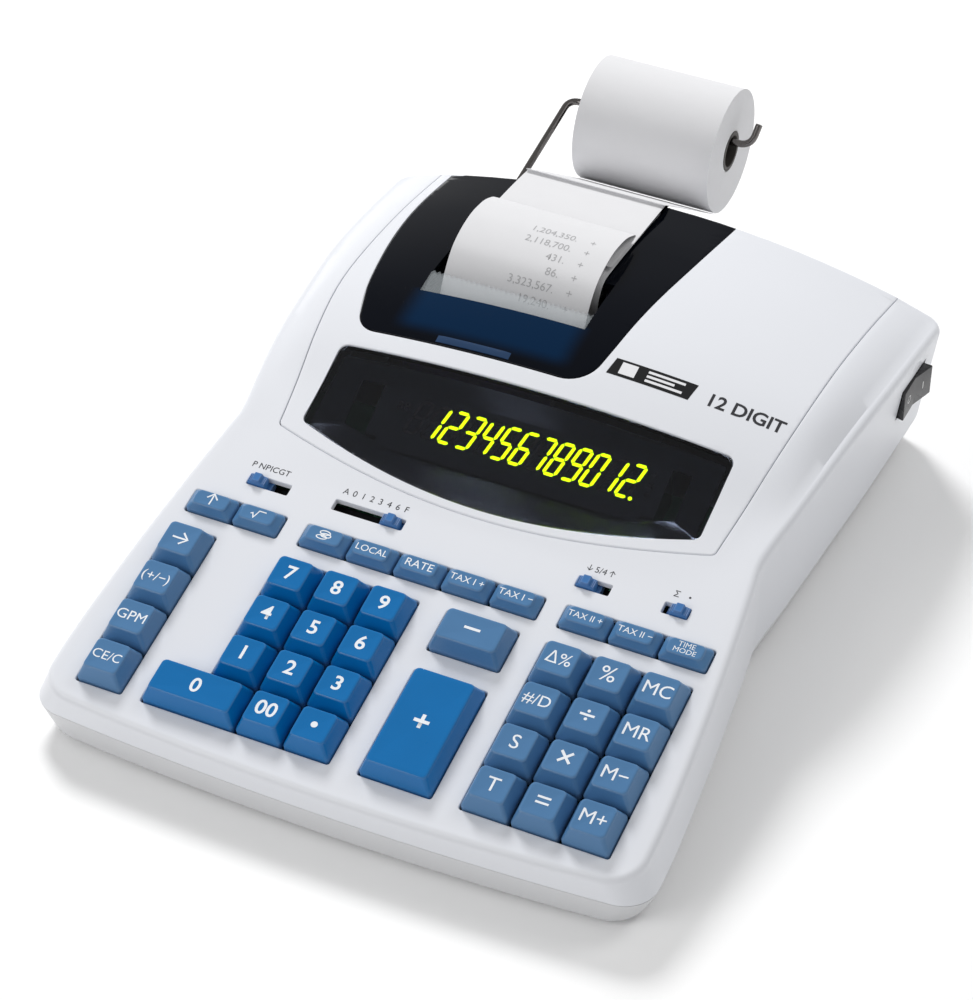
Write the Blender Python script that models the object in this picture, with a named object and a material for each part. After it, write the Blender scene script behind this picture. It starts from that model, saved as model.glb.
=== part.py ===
"""Desk printing calculator: a case of separate shells, forty keys, switches, a display and a paper printer.

Metres, +Z up, +X to the user's right, +Y away from the user. The layout is measured from the front edge of
the key openings (y = 0) and from the table (z = 0); an empty then centres the whole object on the origin.
"""
import math
from bisect import bisect_right

import bmesh
import bpy
from mathutils import Matrix, Vector

MM = 0.001

# ---- key deck -------------------------------------------------------------------------------------------
KEY_PITCH = 17.7 * MM           # centre to centre of two keys in the main blocks
KEY_GAP = 1.0 * MM              # between the skirts of neighbouring keys
KEY_CLEARANCE = 0.5 * MM        # from the last skirt to the edge of its opening
KEY_TRAVEL = 3.0 * MM
KEY_TOP_INSET = 2.2 * MM        # how far a keycap's top draws in on each side
KEY_HEIGHT = 6.5 * MM           # keycap top above the deck
KEY_SKIRT_DEPTH = 3.0 * MM      # skirt below the deck
LOW_KEY_DEPTH = 9.0 * MM        # front to back, function row
LOW_KEY_HEIGHT = 3.6 * MM
LOW_KEY_PITCH = 18.1 * MM
KEY_CORNER = 1.2 * MM
KEY_STEM = 5.0 * MM
STEM_ROOM = 0.5 * MM            # left between a pressed key's stem and the key board
KEY_SHOULDER = 0.8 * MM         # height above the deck where a key's sides start to slope
KEY_SOFT = 0.6 * MM             # soft edge round a key's top
DECK_TILT = math.radians(13.0)
DECK_HEIGHT = 24.0 * MM         # deck above the table at the front edge of the key openings

# ---- case -----------------------------------------------------------------------------------------------
WALL = 2.4 * MM
FIT_GAP = 0.3 * MM              # between pieces that touch
FOOT_HEIGHT = 2.0 * MM
FOOT_RADIUS = 8.0 * MM
FEET = ((-88 * MM, 14 * MM), (-88 * MM, 250 * MM), (88 * MM, 14 * MM), (88 * MM, 250 * MM))    # x, y
SEAM_HEIGHT = 13.0 * MM         # parting line of the two case halves
CASE_FRONT_Y = -12.0 * MM       # middle of the front edge
CASE_REAR_Y = 277.0 * MM
FRONT_BOW = 5.0 * MM            # the front edge's corners stand back by this much
FRONT_CORNER = 13.0 * MM
REAR_CORNER = 6.5 * MM
EDGE_ROUND = 3.0 * MM           # rounding between walls and top
HALF_WIDTH = ((-12, 109.6), (19, 109.6), (60, 106.9), (92, 103.7), (116, 100.8), (123, 99.9),
              (130, 100.5), (147, 103.1), (166, 105.4), (190, 107.6), (217, 109.8), (245, 110.9), (277, 111.5))
SIDE_FLARE = ((-12, 4.6), (37, 2.0), (86, 0.2), (123, -0.9), (165, -3.6), (217, -5.2), (277, -5.0))
LOWER_TAPER = 4.5 * MM          # the lower case's sides draw in below the parting line
LOWER_END_TAPER = 2.2 * MM      # and its front and rear

# ---- top panel, its height lines as (y, z) in millimetres ------------------------------------------------
PANEL_FRONT_Y = 106.9 * MM
PANEL_FRONT_BOW = 14.0 * MM
PANEL_CORNER_HALF = 83.2 * MM
PANEL_REAR_DROP = 58.0 * MM     # the panel's lip down the rear wall ends at this height
PANEL_CORNER = 2.5 * MM
CROWN_LINE = ((130, 58.0), (157, 69.7), (181, 76.6), (206, 79.0), (242, 77.2), (277, 73.0))
SEAM_LINE = ((139.5, 57.3), (160, 64.8), (182, 69.7), (205, 70.3), (240, 67.0), (277, 60.2))
SHOULDER_LINE = ((148, 57.4), (166, 59.9), (191, 61.6), (217, 61.6), (245, 59.0), (277, 54.6))
CROWN_START, SEAM_START, SHOULDER_START = 102.0, 118.0, 130.0
SEAM_HALF_WIDTH = ((102, 80.5), (118, 82.7), (140, 85.6), (160, 88.3), (182, 90.5), (217, 91.6), (277, 93.1))

# ---- display --------------------------------------------------------------------------------------------
WINDOW_TOP_Y = 156.9 * MM
WINDOW_FRONT_Y = 110.2 * MM
WINDOW_BOW = 14.6 * MM
WINDOW_HALF = 75.8 * MM
WINDOW_CORNER = 3.0 * MM
TUBE_LENGTH = 101.0 * MM
TUBE_DEPTH = 24.0 * MM
TUBE_THICKNESS = 5.0 * MM
TUBE_TILT = math.radians(29.0)
TUBE_X, TUBE_Y = 1.5 * MM, 139.0 * MM
TUBE_ABOVE_BOARD = 10.25 * MM   # from the key board's top to the middle of the tube

# ---- printer --------------------------------------------------------------------------------------------
PAPER_WIDTH = 57.0 * MM
PAPER_CENTRE_X = -27.2 * MM
PAPER_THICKNESS = 0.25 * MM
COVER_FRONT_Y = 164.4 * MM
# the cover's left and right edges, as (y, distance from the middle) in millimetres
COVER_LEFT = ((150, 69.5), (164, 73.6), (183, 79.1), (195, 81.4), (215, 84.7), (235, 87.0), (256, 88.0),
              (290, 88.4))
COVER_RIGHT = ((150, 12.0), (164, 15.6), (178, 18.2), (200, 20.9), (244, 25.8), (290, 29.3))
COVER_CORNER_LEFT = 9.0 * MM
COVER_CORNER_RIGHT = 12.0 * MM
SLOT_FRONT_Y = 187.0 * MM
SLOT_DEPTH = 27.0 * MM
SLOT_SIDE_CLEARANCE = 4.2 * MM
ROLL_RADIUS = 25.0 * MM
ROLL_AXIS = (339.5 * MM, 59.7 * MM)      # y, z
CORE_HOLE_RADIUS = 6.2 * MM
FEED_RADIUS = 7.5 * MM
FEED_AXIS = (201.0 * MM, 61.0 * MM)
AXLE_RADIUS = 2.0 * MM
AXLE_CLEARANCE = 0.15 * MM
INK_RADIUS = 6.0 * MM
INK_AXIS = (172.5 * MM, 56.0 * MM)
FRAME_SIDE_CLEARANCE = 2.2 * MM # between the paper's edges and the frame's plates
FRAME_MARGIN = 12.0 * MM        # from the frame's ends to the nearer roller's axis
FRAME_LIP = 4.0 * MM            # frame plates above the rollers' axes
# the paper strip's way in over the rear edge and out at the tear bar, (y, z) in millimetres
REAR_CREST = (275.3, 74.0)
REAR_WEB = ((271.6, 75.2), (255.8, 77.2), (240, 78.6), (228, 79.5), (219, 79.8), (214.4, 79.4), (211, 77.0),
            (208.4, 71.5))
FRONT_WEB = ((196.7, 69.8), (199.6, 75.0), (203.2, 79.6), (207.6, 83.2), (214.4, 85.8), (222, 87.0), (229, 86.5),
             (234.4, 85.4), (240.2, 82.9), (242.6, 81.4), (241.6, 80.7), (237, 80.5), (229, 80.9), (220.4, 81.5))
BAR_FRONT = (187.5, 73.0)       # underside of the tear bar at the slot's front edge
BAR_REAR = (198.2, 75.1)        # and under the tips of its teeth
BAR_THICKNESS = 1.2 * MM
TOOTH_PITCH = 2.0 * MM
TOOTH_DEPTH = 1.1 * MM
WIRE_INSIDE = 9.0 * MM          # straight ends of the wire's arm on both sides of the rear wall
WIRE_TIP = 8.0 * MM             # from the paper's edge to the wire's upturned tip
WIRE_RADIUS = 1.4 * MM
WIRE_ARM_SIDE = 12.0 * MM       # from the paper's left edge to the middle of the wire's arm
WIRE_BEND = 5.0 * MM
WIRE_BELOW_LIP = 4.5 * MM        # the wire enters the rear wall this far under the panel's lip
WIRE_TURN_UP = (1.5 * MM, 4.0 * MM, 8.0 * MM)    # from the hub's end to the upturned tip
FRAME_PLATE = 1.5 * MM

# ---- switches -------------------------------------------------------------------------------------------
SLIDER_SLOT_DEPTH = 4.7 * MM
SLIDER_KNOB_LENGTH = 6.6 * MM
SLIDER_PROUD = 2.6 * MM
SLIDER_FOOT = 3.0 * MM          # wider foot that keeps a knob under the case's top
SLIDER_SHOULDER = 0.6 * MM
# name: (left end of the slot, right end, middle of the slot along the deck, knob rests at: 0 left, 1 right)
SLIDERS = {
    "print_mode_slider": (-82.0 * MM, -66.0 * MM, 98.2 * MM, 0.0),
    "decimal_slider": (-48.8 * MM, -21.7 * MM, 98.4 * MM, 0.93),
    "rounding_slider": (43.7 * MM, 56.1 * MM, 97.9 * MM, 0.0),
    "total_slider": (75.2 * MM, 84.8 * MM, 98.1 * MM, 1.0),
}
ROCKER_LENGTH = 21.0 * MM
ROCKER_HEIGHT = 12.6 * MM
ROCKER_SWING = math.radians(18.0)
ROCKER_CENTRE = (248.0 * MM, 42.5 * MM)  # y, z
ROCKER_INSET = 5.0 * MM         # pivot inside the wall's outer face
ROCKER_CLEARANCE = 0.6 * MM
ROCKER_BACK = 4.5 * MM          # half the width of the rocker's back, and its depth behind the pivot
ROCKER_EDGE = 0.6 * MM          # thickness left at the rocker's two ends
PIN_RADIUS = 1.2 * MM
SHELF_THICKNESS = 2.0 * MM

# ---- inside ---------------------------------------------------------------------------------------------
BOARD_DEPTH = 13.0 * MM         # top face of the key board under the deck
BOARD_THICKNESS = 1.6 * MM
BOARD_SIDE_GAP = 0.5 * MM       # between the board and the case's walls at the waist
BOARD_FRONT = -2.0 * MM
BOARD_REAR = 152.0 * MM
SPINE_MARGIN = 22 * MM          # the line that the top's rings close on stops this short of the case's ends
HALF_SPAN = 130 * MM            # past the widest half of the case
LID_FLOOR, LID_CEILING = 25 * MM, 110 * MM
HOLE_REACH = 12 * MM
POST_RADIUS = 3.5 * MM
POSTS = ((-60 * MM, 8 * MM), (60 * MM, 8 * MM), (-70 * MM, 140 * MM), (70 * MM, 140 * MM))   # x, up the deck
BRACKET_LENGTH = 6.0 * MM
BRACKET_SHARE = 0.7             # of the display tube's depth, held by each bracket
TRANSFORMER = (44 * MM, 36 * MM, 36 * MM)
TRANSFORMER_PLACE = (56 * MM, 232 * MM)
WINDING = (2 / 3, 1.5, 0.6)     # shares of the core's width, depth and height
FLANGE = (1.5, 0.5)             # shares of its width and depth

# ---- places of the key groups on the deck ---------------------------------------------------------------
PAD_RIGHT = -2.9 * MM
RIGHT_BLOCK_LEFT = 45.0 * MM
LEFT_COLUMN_CENTRE = -89.2 * MM
PLUS_CENTRE = 21.3 * MM
PLUS_WIDTH = 26.0 * MM
PLUS_DEPTH = 44.0 * MM
MINUS_V = 62.3 * MM
LOW_ROW_V = 82.5 * MM
# function row: middle of each group and its keys
LOW_ROW = ((-79.1 * MM, ("key_paper_feed", "key_square_root")),
           (-7.9 * MM, ("key_convert", "key_local_currency", "key_rate", "key_tax_one_plus",
                        "key_tax_one_minus")),
           (71.9 * MM, ("key_tax_two_plus", "key_tax_two_minus", "key_time_mode")))
LEFT_KEYS = ("key_clear", "key_average", "key_sign_change", "key_shift_right")
DIGIT_KEYS = (("key_1", "key_2", "key_3"), ("key_4", "key_5", "key_6"), ("key_7", "key_8", "key_9"))
RIGHT_KEYS = (("key_total", "key_equals", "key_memory_plus"),
              ("key_subtotal", "key_multiply", "key_memory_minus"),
              ("key_number_date", "key_divide", "key_memory_recall"),
              ("key_delta_percent", "key_percent", "key_memory_clear"))

CENTRE_Y = (CASE_FRONT_Y + ROLL_AXIS[0] + ROLL_RADIUS) / 2
KEY_FACE = KEY_PITCH - KEY_GAP
LOW_KEY_FACE = LOW_KEY_PITCH - KEY_GAP
COVER_REAR_DROP = PANEL_REAR_DROP + 5 * MM
BOARD_HALF = min(half for _, half in HALF_WIDTH) * MM - WALL - BOARD_SIDE_GAP
FLOOR_TOP = FOOT_HEIGHT + WALL


# ---- small tools ----------------------------------------------------------------------------------------
def smooth_line(points):
    """A function through the (place, value) points, in millimetres, that joins them with smooth cubics."""
    places = [p[0] for p in points]
    values = [p[1] for p in points]
    steps = [(values[i + 1] - values[i]) / (places[i + 1] - places[i]) for i in range(len(points) - 1)]
    slopes = [steps[0]] + [(a + b) / 2 for a, b in zip(steps, steps[1:])] + [steps[-1]]

    def value(place):
        place = place / MM
        i = min(max(bisect_right(places, place) - 1, 0), len(points) - 2)
        span = places[i + 1] - places[i]
        t = min(max((place - places[i]) / span, 0.0), 1.0)
        a = (1 + 2 * t) * (1 - t) ** 2 * values[i] + t * (1 - t) ** 2 * span * slopes[i]
        b = t * t * (3 - 2 * t) * values[i + 1] + t * t * (t - 1) * span * slopes[i + 1]
        return (a + b) * MM

    return value


def deck_height(y):
    return DECK_HEIGHT + y * math.tan(DECK_TILT)


def board_top(y):
    """Height of the key board's top face."""
    return deck_height(y) - BOARD_DEPTH / math.cos(DECK_TILT)


def rising_line(start, points):
    """A height line that follows the key deck up to start and then runs through the points."""
    lead = tuple((y, deck_height(y * MM) / MM) for y in (start - 12.0, start))
    line = smooth_line(lead + points)

    def value(y):
        return deck_height(y) if y <= start * MM else line(y)

    return value


crown_line = rising_line(CROWN_START, CROWN_LINE)
seam_line = rising_line(SEAM_START, SEAM_LINE)
shoulder_line = rising_line(SHOULDER_START, SHOULDER_LINE)
half_width = smooth_line(HALF_WIDTH)
side_flare = smooth_line(SIDE_FLARE)
seam_half_width = smooth_line(SEAM_HALF_WIDTH)


def top_height(x, y):
    """Height of the case's top over the point x, y: a crowned panel between two falling shoulders."""
    if y <= CROWN_START * MM:
        return deck_height(y)
    side = seam_line(y)
    rise = crown_line(y) - side
    half = seam_half_width(y)
    out = abs(x) - half
    if out <= 0:
        return side + rise * (1 - (x / half) ** 2)
    slope = -2 * rise / half
    reach = half_width(y) - EDGE_ROUND - half
    bend = (shoulder_line(y) - side - slope * reach) / reach ** 2
    return side + slope * out + bend * out * out


def material(name, colour, roughness, metallic=0.0, alpha=1.0):
    made = bpy.data.materials.new(name)
    made.use_nodes = True
    shader = made.node_tree.nodes["Principled BSDF"]
    shader.inputs["Base Color"].default_value = (*colour, 1.0)
    shader.inputs["Roughness"].default_value = roughness
    shader.inputs["Metallic"].default_value = metallic
    shader.inputs["Alpha"].default_value = alpha
    return made


def mesh_object(name, verts, faces, paint=None, parent=None, cutter=False):
    mesh = bpy.data.meshes.new(name)
    mesh.from_pydata(verts, [], faces)
    work = bmesh.new()
    work.from_mesh(mesh)
    bmesh.ops.remove_doubles(work, verts=work.verts, dist=1e-6)
    bmesh.ops.recalc_face_normals(work, faces=work.faces)
    work.to_mesh(mesh)
    work.free()
    made = bpy.data.objects.new(name, mesh)
    bpy.context.scene.collection.objects.link(made)
    if paint:
        mesh.materials.append(paint)
    if cutter:
        made.hide_render = True
        made.display_type = "WIRE"
    made.parent = parent
    return made


def loft(rings, closed_ends=True):
    """Vertices and faces of a skin over rings that have the same number of points."""
    count = len(rings[0])
    verts = [point for ring in rings for point in ring]
    faces = []
    for i in range(len(rings) - 1):
        for j in range(count):
            k = (j + 1) % count
            faces.append((i * count + j, i * count + k, (i + 1) * count + k, (i + 1) * count + j))
    if closed_ends:
        faces.append(tuple(range(count))[::-1])
        faces.append(tuple(range((len(rings) - 1) * count, len(rings) * count)))
    return verts, faces


def rounded_polygon(corners, steps=4):
    """A closed outline with each (x, y, radius) corner turned into an arc."""
    outline = []
    for i, (x, y, radius) in enumerate(corners):
        here = Vector((x, y))
        if radius == 0:
            outline.append((x, y))
            continue
        before = (Vector(corners[i - 1][:2]) - here).normalized()
        after = (Vector(corners[(i + 1) % len(corners)][:2]) - here).normalized()
        half_angle = before.angle(after) / 2
        centre = here + (before + after).normalized() * (radius / math.sin(half_angle))
        start = here + before * (radius / math.tan(half_angle)) - centre
        end = here + after * (radius / math.tan(half_angle)) - centre
        turn = start.angle_signed(end)
        for k in range(steps + 1):
            arm = start.copy()
            arm.rotate(Matrix.Rotation(-turn * k / steps, 2))
            outline.append(tuple(centre + arm))
    return outline


def prism(name, outline, low, high, **extra):
    """A solid over a plan outline, from one height to another."""
    rings = [[(x, y, z) for x, y in outline] for z in (low, high)]
    return mesh_object(name, *loft(rings), **extra)


def box(name, low, high, **extra):
    outline = [(low[0], low[1]), (high[0], low[1]), (high[0], high[1]), (low[0], high[1])]
    return prism(name, outline, low[2], high[2], **extra)


def cylinder_x(name, radius, left, right, centre, sides=24, **extra):
    """A round bar along X."""
    y, z = centre
    turn = [2 * math.pi * i / sides for i in range(sides)]
    rings = [[(x, y + radius * math.cos(a), z + radius * math.sin(a)) for a in turn] for x in (left, right)]
    return mesh_object(name, *loft(rings), **extra)


def boolean(target, other, operation):
    step = target.modifiers.new(operation.lower(), "BOOLEAN")
    step.operation = operation
    step.solver = "EXACT"
    step.object = other
    return step


def apply_all(target):
    """Turns an object's modifiers into its mesh."""
    bpy.context.view_layer.update()
    graph = bpy.context.evaluated_depsgraph_get()
    mesh = bpy.data.meshes.new_from_object(target.evaluated_get(graph))
    target.modifiers.clear()
    target.data = mesh


def shade(target, angle=35.0):
    target.data.shade_smooth()
    target.data.set_sharp_from_angle(angle=math.radians(angle))


def copy_of(source, name, parent):
    made = bpy.data.objects.new(name, source.data.copy())
    bpy.context.scene.collection.objects.link(made)
    made.parent = parent
    return made


def deck_place(u, v, w=0.0):
    """Point over the key deck: u across, v up the slope, w out of it."""
    return (u, v * math.cos(DECK_TILT) - w * math.sin(DECK_TILT),
            DECK_HEIGHT + v * math.sin(DECK_TILT) + w * math.cos(DECK_TILT))


def on_deck(target, u, v, w=0.0):
    target.location = deck_place(u, v, w)
    target.rotation_euler = (DECK_TILT, 0, 0)


# ---- case outlines --------------------------------------------------------------------------------------
def case_outline():
    """Plan outline of the case's top edge, anticlockwise from the front middle."""
    side_stations = (8, 24, 42, 60, 76, 92, 104, 113, 119, 123, 128, 135, 143, 152, 161, 171, 182, 195,
                     209, 224, 240, 256)
    front = [(x * MM, CASE_FRONT_Y + FRONT_BOW * (x * MM / half_width(0)) ** 2) for x in (0, 28, 56, 80)]
    corner_f = (half_width(0), CASE_FRONT_Y + FRONT_BOW)
    side = [(half_width(y * MM), y * MM) for y in side_stations]
    corner_r = (half_width(CASE_REAR_Y), CASE_REAR_Y)
    rear = [(x * MM, CASE_REAR_Y) for x in (84, 62, 40, 20)]
    right = [(*p, 0) for p in front[1:]] + [(*corner_f, FRONT_CORNER)] + [(*p, 0) for p in side]
    right += [(*corner_r, REAR_CORNER)] + [(*p, 0) for p in rear]
    left = [(-x, y, r) for x, y, r in reversed(right)]
    return rounded_polygon([(*front[0], 0)] + right + [(0, CASE_REAR_Y, 0)] + left)


def grown(outline, amount):
    """The outline moved outwards by amount, or inwards if it is negative."""
    count = len(outline)
    moved = []
    for i in range(count):
        before, here, after = (Vector(outline[k % count]) for k in (i - 1, i, i + 1))
        along = ((here - before).normalized() + (after - here).normalized()).normalized()
        moved.append((here.x + along.y * amount, here.y - along.x * amount))
    return moved


def flared(outline, share=1.0):
    """The outline at the parting line, where the walls stand out or in by the side flare."""
    return [(x * (1 + share * side_flare(y) / half_width(y)), y) for x, y in outline]


def tapered(outline, share):
    """The outline drawn in towards its middle by a share of the lower case's taper."""
    middle = (CASE_FRONT_Y + CASE_REAR_Y) / 2
    across = 1 - share * LOWER_TAPER / half_width(middle)
    along = 1 - share * LOWER_END_TAPER / (CASE_REAR_Y - middle)
    return [(x * across, middle + (y - middle) * along) for x, y in outline]


def case_block(drop, bottom, name, **extra):
    """The upper half of the case as a solid block whose top lies drop under the outer surface."""
    outline = case_outline()
    outer = grown(outline, -drop)
    edge = grown(outer, -EDGE_ROUND)
    rings = [[(x, y, bottom) for x, y in grown(flared(outline), -drop)]]
    for turn in (0, 30, 60, 90):
        inset = EDGE_ROUND * (1 - math.cos(math.radians(turn)))
        sink = EDGE_ROUND * (1 - math.sin(math.radians(turn))) + drop
        rings.append([(p[0], p[1], top_height(*e) - sink) for p, e in zip(grown(outer, -inset), edge)])
    front, rear = CASE_FRONT_Y + FRONT_BOW + FRONT_CORNER, CASE_REAR_Y - REAR_CORNER
    for share in (0.93, 0.86, 0.78, 0.62, 0.44, 0.22, 0.0):
        ring = []
        for x, y in edge:
            along = min(max((y - front) / (rear - front), 0), 1)
            spine = front + SPINE_MARGIN + (rear - front - 2 * SPINE_MARGIN) * along
            px, py = x * share, spine + (y - spine) * share
            ring.append((px, py, top_height(px, py) - drop))
        rings.append(ring)
    verts, faces = loft(rings, closed_ends=False)
    faces.append(tuple(range(len(outline)))[::-1])
    return mesh_object(name, verts, faces, **extra)


def bowed_front(half, front_y, bow, shares):
    """Points of a front edge whose middle stands forward of its ends."""
    return [(half * t, front_y + bow * t * t, 0) for t in shares]


def panel_outline(grow):
    """Plan outline of the top panel, past the rear wall at the back."""
    half, corner_y = PANEL_CORNER_HALF, PANEL_FRONT_Y + PANEL_FRONT_BOW
    front = bowed_front(half, PANEL_FRONT_Y, PANEL_FRONT_BOW, (-0.84, -0.56, -0.28, 0, 0.28, 0.56, 0.84))
    sides = [(seam_half_width(y * MM), y * MM, 0) for y in (132, 142, 155, 171, 190, 215, 250, 290)]
    corners = [(-half, corner_y, PANEL_CORNER)] + front + [(half, corner_y, PANEL_CORNER)]
    corners += sides + [(-x, y, r) for x, y, r in reversed(sides)]
    return grown(rounded_polygon(corners, 3), grow)


def window_outline(grow):
    half, corner_y, top = WINDOW_HALF, WINDOW_FRONT_Y + WINDOW_BOW, WINDOW_TOP_Y
    front = bowed_front(half, WINDOW_FRONT_Y, WINDOW_BOW, (-0.8, -0.53, -0.27, 0, 0.27, 0.53, 0.8))
    corners = [(-half, corner_y, WINDOW_CORNER)] + front + [(half, corner_y, WINDOW_CORNER)]
    corners += [(half, top, WINDOW_CORNER), (half / 2, top, 0), (0, top, 0), (-half / 2, top, 0),
                (-half, top, WINDOW_CORNER)]
    return grown(rounded_polygon(corners, 3), grow)


def cover_outline(grow):
    right_line, left_line = smooth_line(COVER_RIGHT), smooth_line(COVER_LEFT)
    front = COVER_FRONT_Y
    right = [(right_line(y * MM), y * MM, 0) for y in (184, 206, 244, 290)]
    left = [(-left_line(y * MM), y * MM, 0) for y in (290, 256, 235, 215, 198, 183)]
    corners = [(-left_line(front), front, COVER_CORNER_LEFT), (-PAPER_WIDTH / 2, front, 0)]
    corners += [(right_line(front), front, COVER_CORNER_RIGHT)] + right + left
    return grown(rounded_polygon(corners, 5), grow)


def lid_block(name, outline, grow, rear_drop):
    """A tall block over an outline that reaches past the rear wall and stops there at the height rear_drop."""
    block = prism(name, outline(grow), LID_FLOOR, LID_CEILING, parent=centre, cutter=True)
    y = CASE_REAR_Y - WALL - FIT_GAP
    low = box(name + "_low", (-HALF_SPAN, y, LID_FLOOR - WALL), (HALF_SPAN, y + HALF_SPAN, rear_drop - grow),
              parent=centre, cutter=True)
    boolean(block, low, "DIFFERENCE")
    apply_all(block)
    bpy.data.objects.remove(low)
    return block


def merged(name, parts):
    """One cutter from several that don't touch each other."""
    work = bmesh.new()
    bpy.context.view_layer.update()
    for part in parts:
        mesh = part.data.copy()
        mesh.transform(part.matrix_basis)
        work.from_mesh(mesh)
        bpy.data.objects.remove(part)
    mesh = bpy.data.meshes.new(name)
    work.to_mesh(mesh)
    work.free()
    made = bpy.data.objects.new(name, mesh)
    bpy.context.scene.collection.objects.link(made)
    made.hide_render = True
    made.display_type = "WIRE"
    made.parent = centre
    return made


def rectangle(width, depth, radius, steps=1):
    x, y = width / 2, depth / 2
    return rounded_polygon([(-x, -y, radius), (x, -y, radius), (x, y, radius), (-x, y, radius)], steps)


def stack(name, sections, corner, **extra):
    """A solid of stacked rounded rectangles, each given as its width, depth and height."""
    rings = [[(x, y, z) for x, y in rectangle(w, d, corner)] for w, d, z in sections]
    return mesh_object(name, *loft(rings), **extra)


def disc(radius, sides=12, centre_at=(0, 0)):
    turn = [2 * math.pi * i / sides for i in range(sides)]
    return [(centre_at[0] + radius * math.cos(a), centre_at[1] + radius * math.sin(a)) for a in turn]


def side_plate(name, outline_yz, left, right, **extra):
    """A flat plate that stands across X, from an outline in the y, z plane."""
    return mesh_object(name, *loft([[(x, y, z) for y, z in outline_yz] for x in (left, right)]), **extra)


def deck_hole(outline):
    """A cutter through the case's top along the deck's normal, from an outline on the deck."""
    hole = prism("deck_hole", outline, -HOLE_REACH, HOLE_REACH, parent=centre, cutter=True)
    on_deck(hole, 0, 0)
    return hole


def keycap(name, paint, u, v, width, depth, height):
    """One keycap with its stem: a stem under a skirt, sloping sides and a flat top with a soft edge."""
    stem_low = KEY_TRAVEL + STEM_ROOM - BOARD_DEPTH
    draw = 2 * KEY_TOP_INSET
    top = (width - draw, depth - draw * min(1, height / KEY_HEIGHT + 0.1))
    sections = ((KEY_STEM, KEY_STEM, stem_low), (KEY_STEM, KEY_STEM, -KEY_SKIRT_DEPTH),
                (width, depth, -KEY_SKIRT_DEPTH), (width, depth, KEY_SHOULDER),
                (top[0], top[1], height - KEY_SOFT), (top[0] - KEY_SOFT, top[1] - KEY_SOFT, height))
    made = stack(name, sections, KEY_CORNER, paint=paint, parent=centre)
    on_deck(made, u, v)
    shade(made)
    return made


def opening(holes, left, right, front, rear):
    """An opening round a block of keys whose outer skirts lie at the given edges."""
    c = KEY_CLEARANCE
    corners = [(left - c, front - c), (right + c, front - c), (right + c, rear + c), (left - c, rear + c)]
    holes.append(deck_hole(corners))


def row_v(row):
    """Middle of a row of main keys, up the deck."""
    return KEY_CLEARANCE + KEY_FACE / 2 + row * KEY_PITCH


def column(holes, middle, names, paint):
    for i, name in enumerate(names):
        keycap(name, paint, middle, row_v(i), KEY_FACE, KEY_FACE, KEY_HEIGHT)
    opening(holes, middle - KEY_FACE / 2, middle + KEY_FACE / 2, row_v(0) - KEY_FACE / 2, row_v(3) + KEY_FACE / 2)


def number_pad(holes):
    """Ten digits, double zero and the point, in an opening stepped round the wide zero."""
    half, c = KEY_FACE / 2, KEY_CLEARANCE
    places = [PAD_RIGHT - half - k * KEY_PITCH for k in (3, 2, 1, 0)]
    for row, names in enumerate(DIGIT_KEYS):
        for k, name in enumerate(names):
            keycap(name, key_bright, places[k + 1], row_v(row + 1), KEY_FACE, KEY_FACE, KEY_HEIGHT)
    keycap("key_0", key_bright, (places[0] + places[1]) / 2, row_v(0), KEY_FACE + KEY_PITCH, KEY_FACE, KEY_HEIGHT)
    keycap("key_00", key_bright, places[2], row_v(0), KEY_FACE, KEY_FACE, KEY_HEIGHT)
    keycap("key_decimal_point", key_bright, places[3], row_v(0), KEY_FACE, KEY_FACE, KEY_HEIGHT)
    left, step_u, right = places[0] - half - c, places[1] - half - c, places[3] + half + c
    front, step_v, rear = row_v(0) - half - c, row_v(0) + half + c, row_v(3) + half + c
    holes.append(deck_hole([(left, front), (right, front), (right, rear), (step_u, rear), (step_u, step_v),
                            (left, step_v)]))


def operator_keys(holes):
    left, right = PLUS_CENTRE - PLUS_WIDTH / 2, PLUS_CENTRE + PLUS_WIDTH / 2
    front = KEY_CLEARANCE
    keycap("key_plus", key_bright, PLUS_CENTRE, front + PLUS_DEPTH / 2, PLUS_WIDTH, PLUS_DEPTH, KEY_HEIGHT)
    opening(holes, left, right, front, front + PLUS_DEPTH)
    keycap("key_minus", key_grey, PLUS_CENTRE, MINUS_V, PLUS_WIDTH, KEY_FACE, KEY_HEIGHT)
    opening(holes, left, right, MINUS_V - KEY_FACE / 2, MINUS_V + KEY_FACE / 2)


def right_block(holes):
    half = KEY_FACE / 2
    places = [RIGHT_BLOCK_LEFT + half + k * KEY_PITCH for k in range(3)]
    for row, names in enumerate(RIGHT_KEYS):
        for u, name in zip(places, names):
            keycap(name, key_grey, u, row_v(row), KEY_FACE, KEY_FACE, KEY_HEIGHT)
    opening(holes, places[0] - half, places[2] + half, row_v(0) - half, row_v(3) + half)


def low_row(holes):
    for middle, names in LOW_ROW:
        span = (len(names) - 1) * LOW_KEY_PITCH
        for i, name in enumerate(names):
            u = middle - span / 2 + i * LOW_KEY_PITCH
            keycap(name, key_grey, u, LOW_ROW_V, LOW_KEY_FACE, LOW_KEY_DEPTH, LOW_KEY_HEIGHT)
        half = (span + LOW_KEY_FACE) / 2
        opening(holes, middle - half, middle + half, LOW_ROW_V - LOW_KEY_DEPTH / 2, LOW_ROW_V + LOW_KEY_DEPTH / 2)


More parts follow.
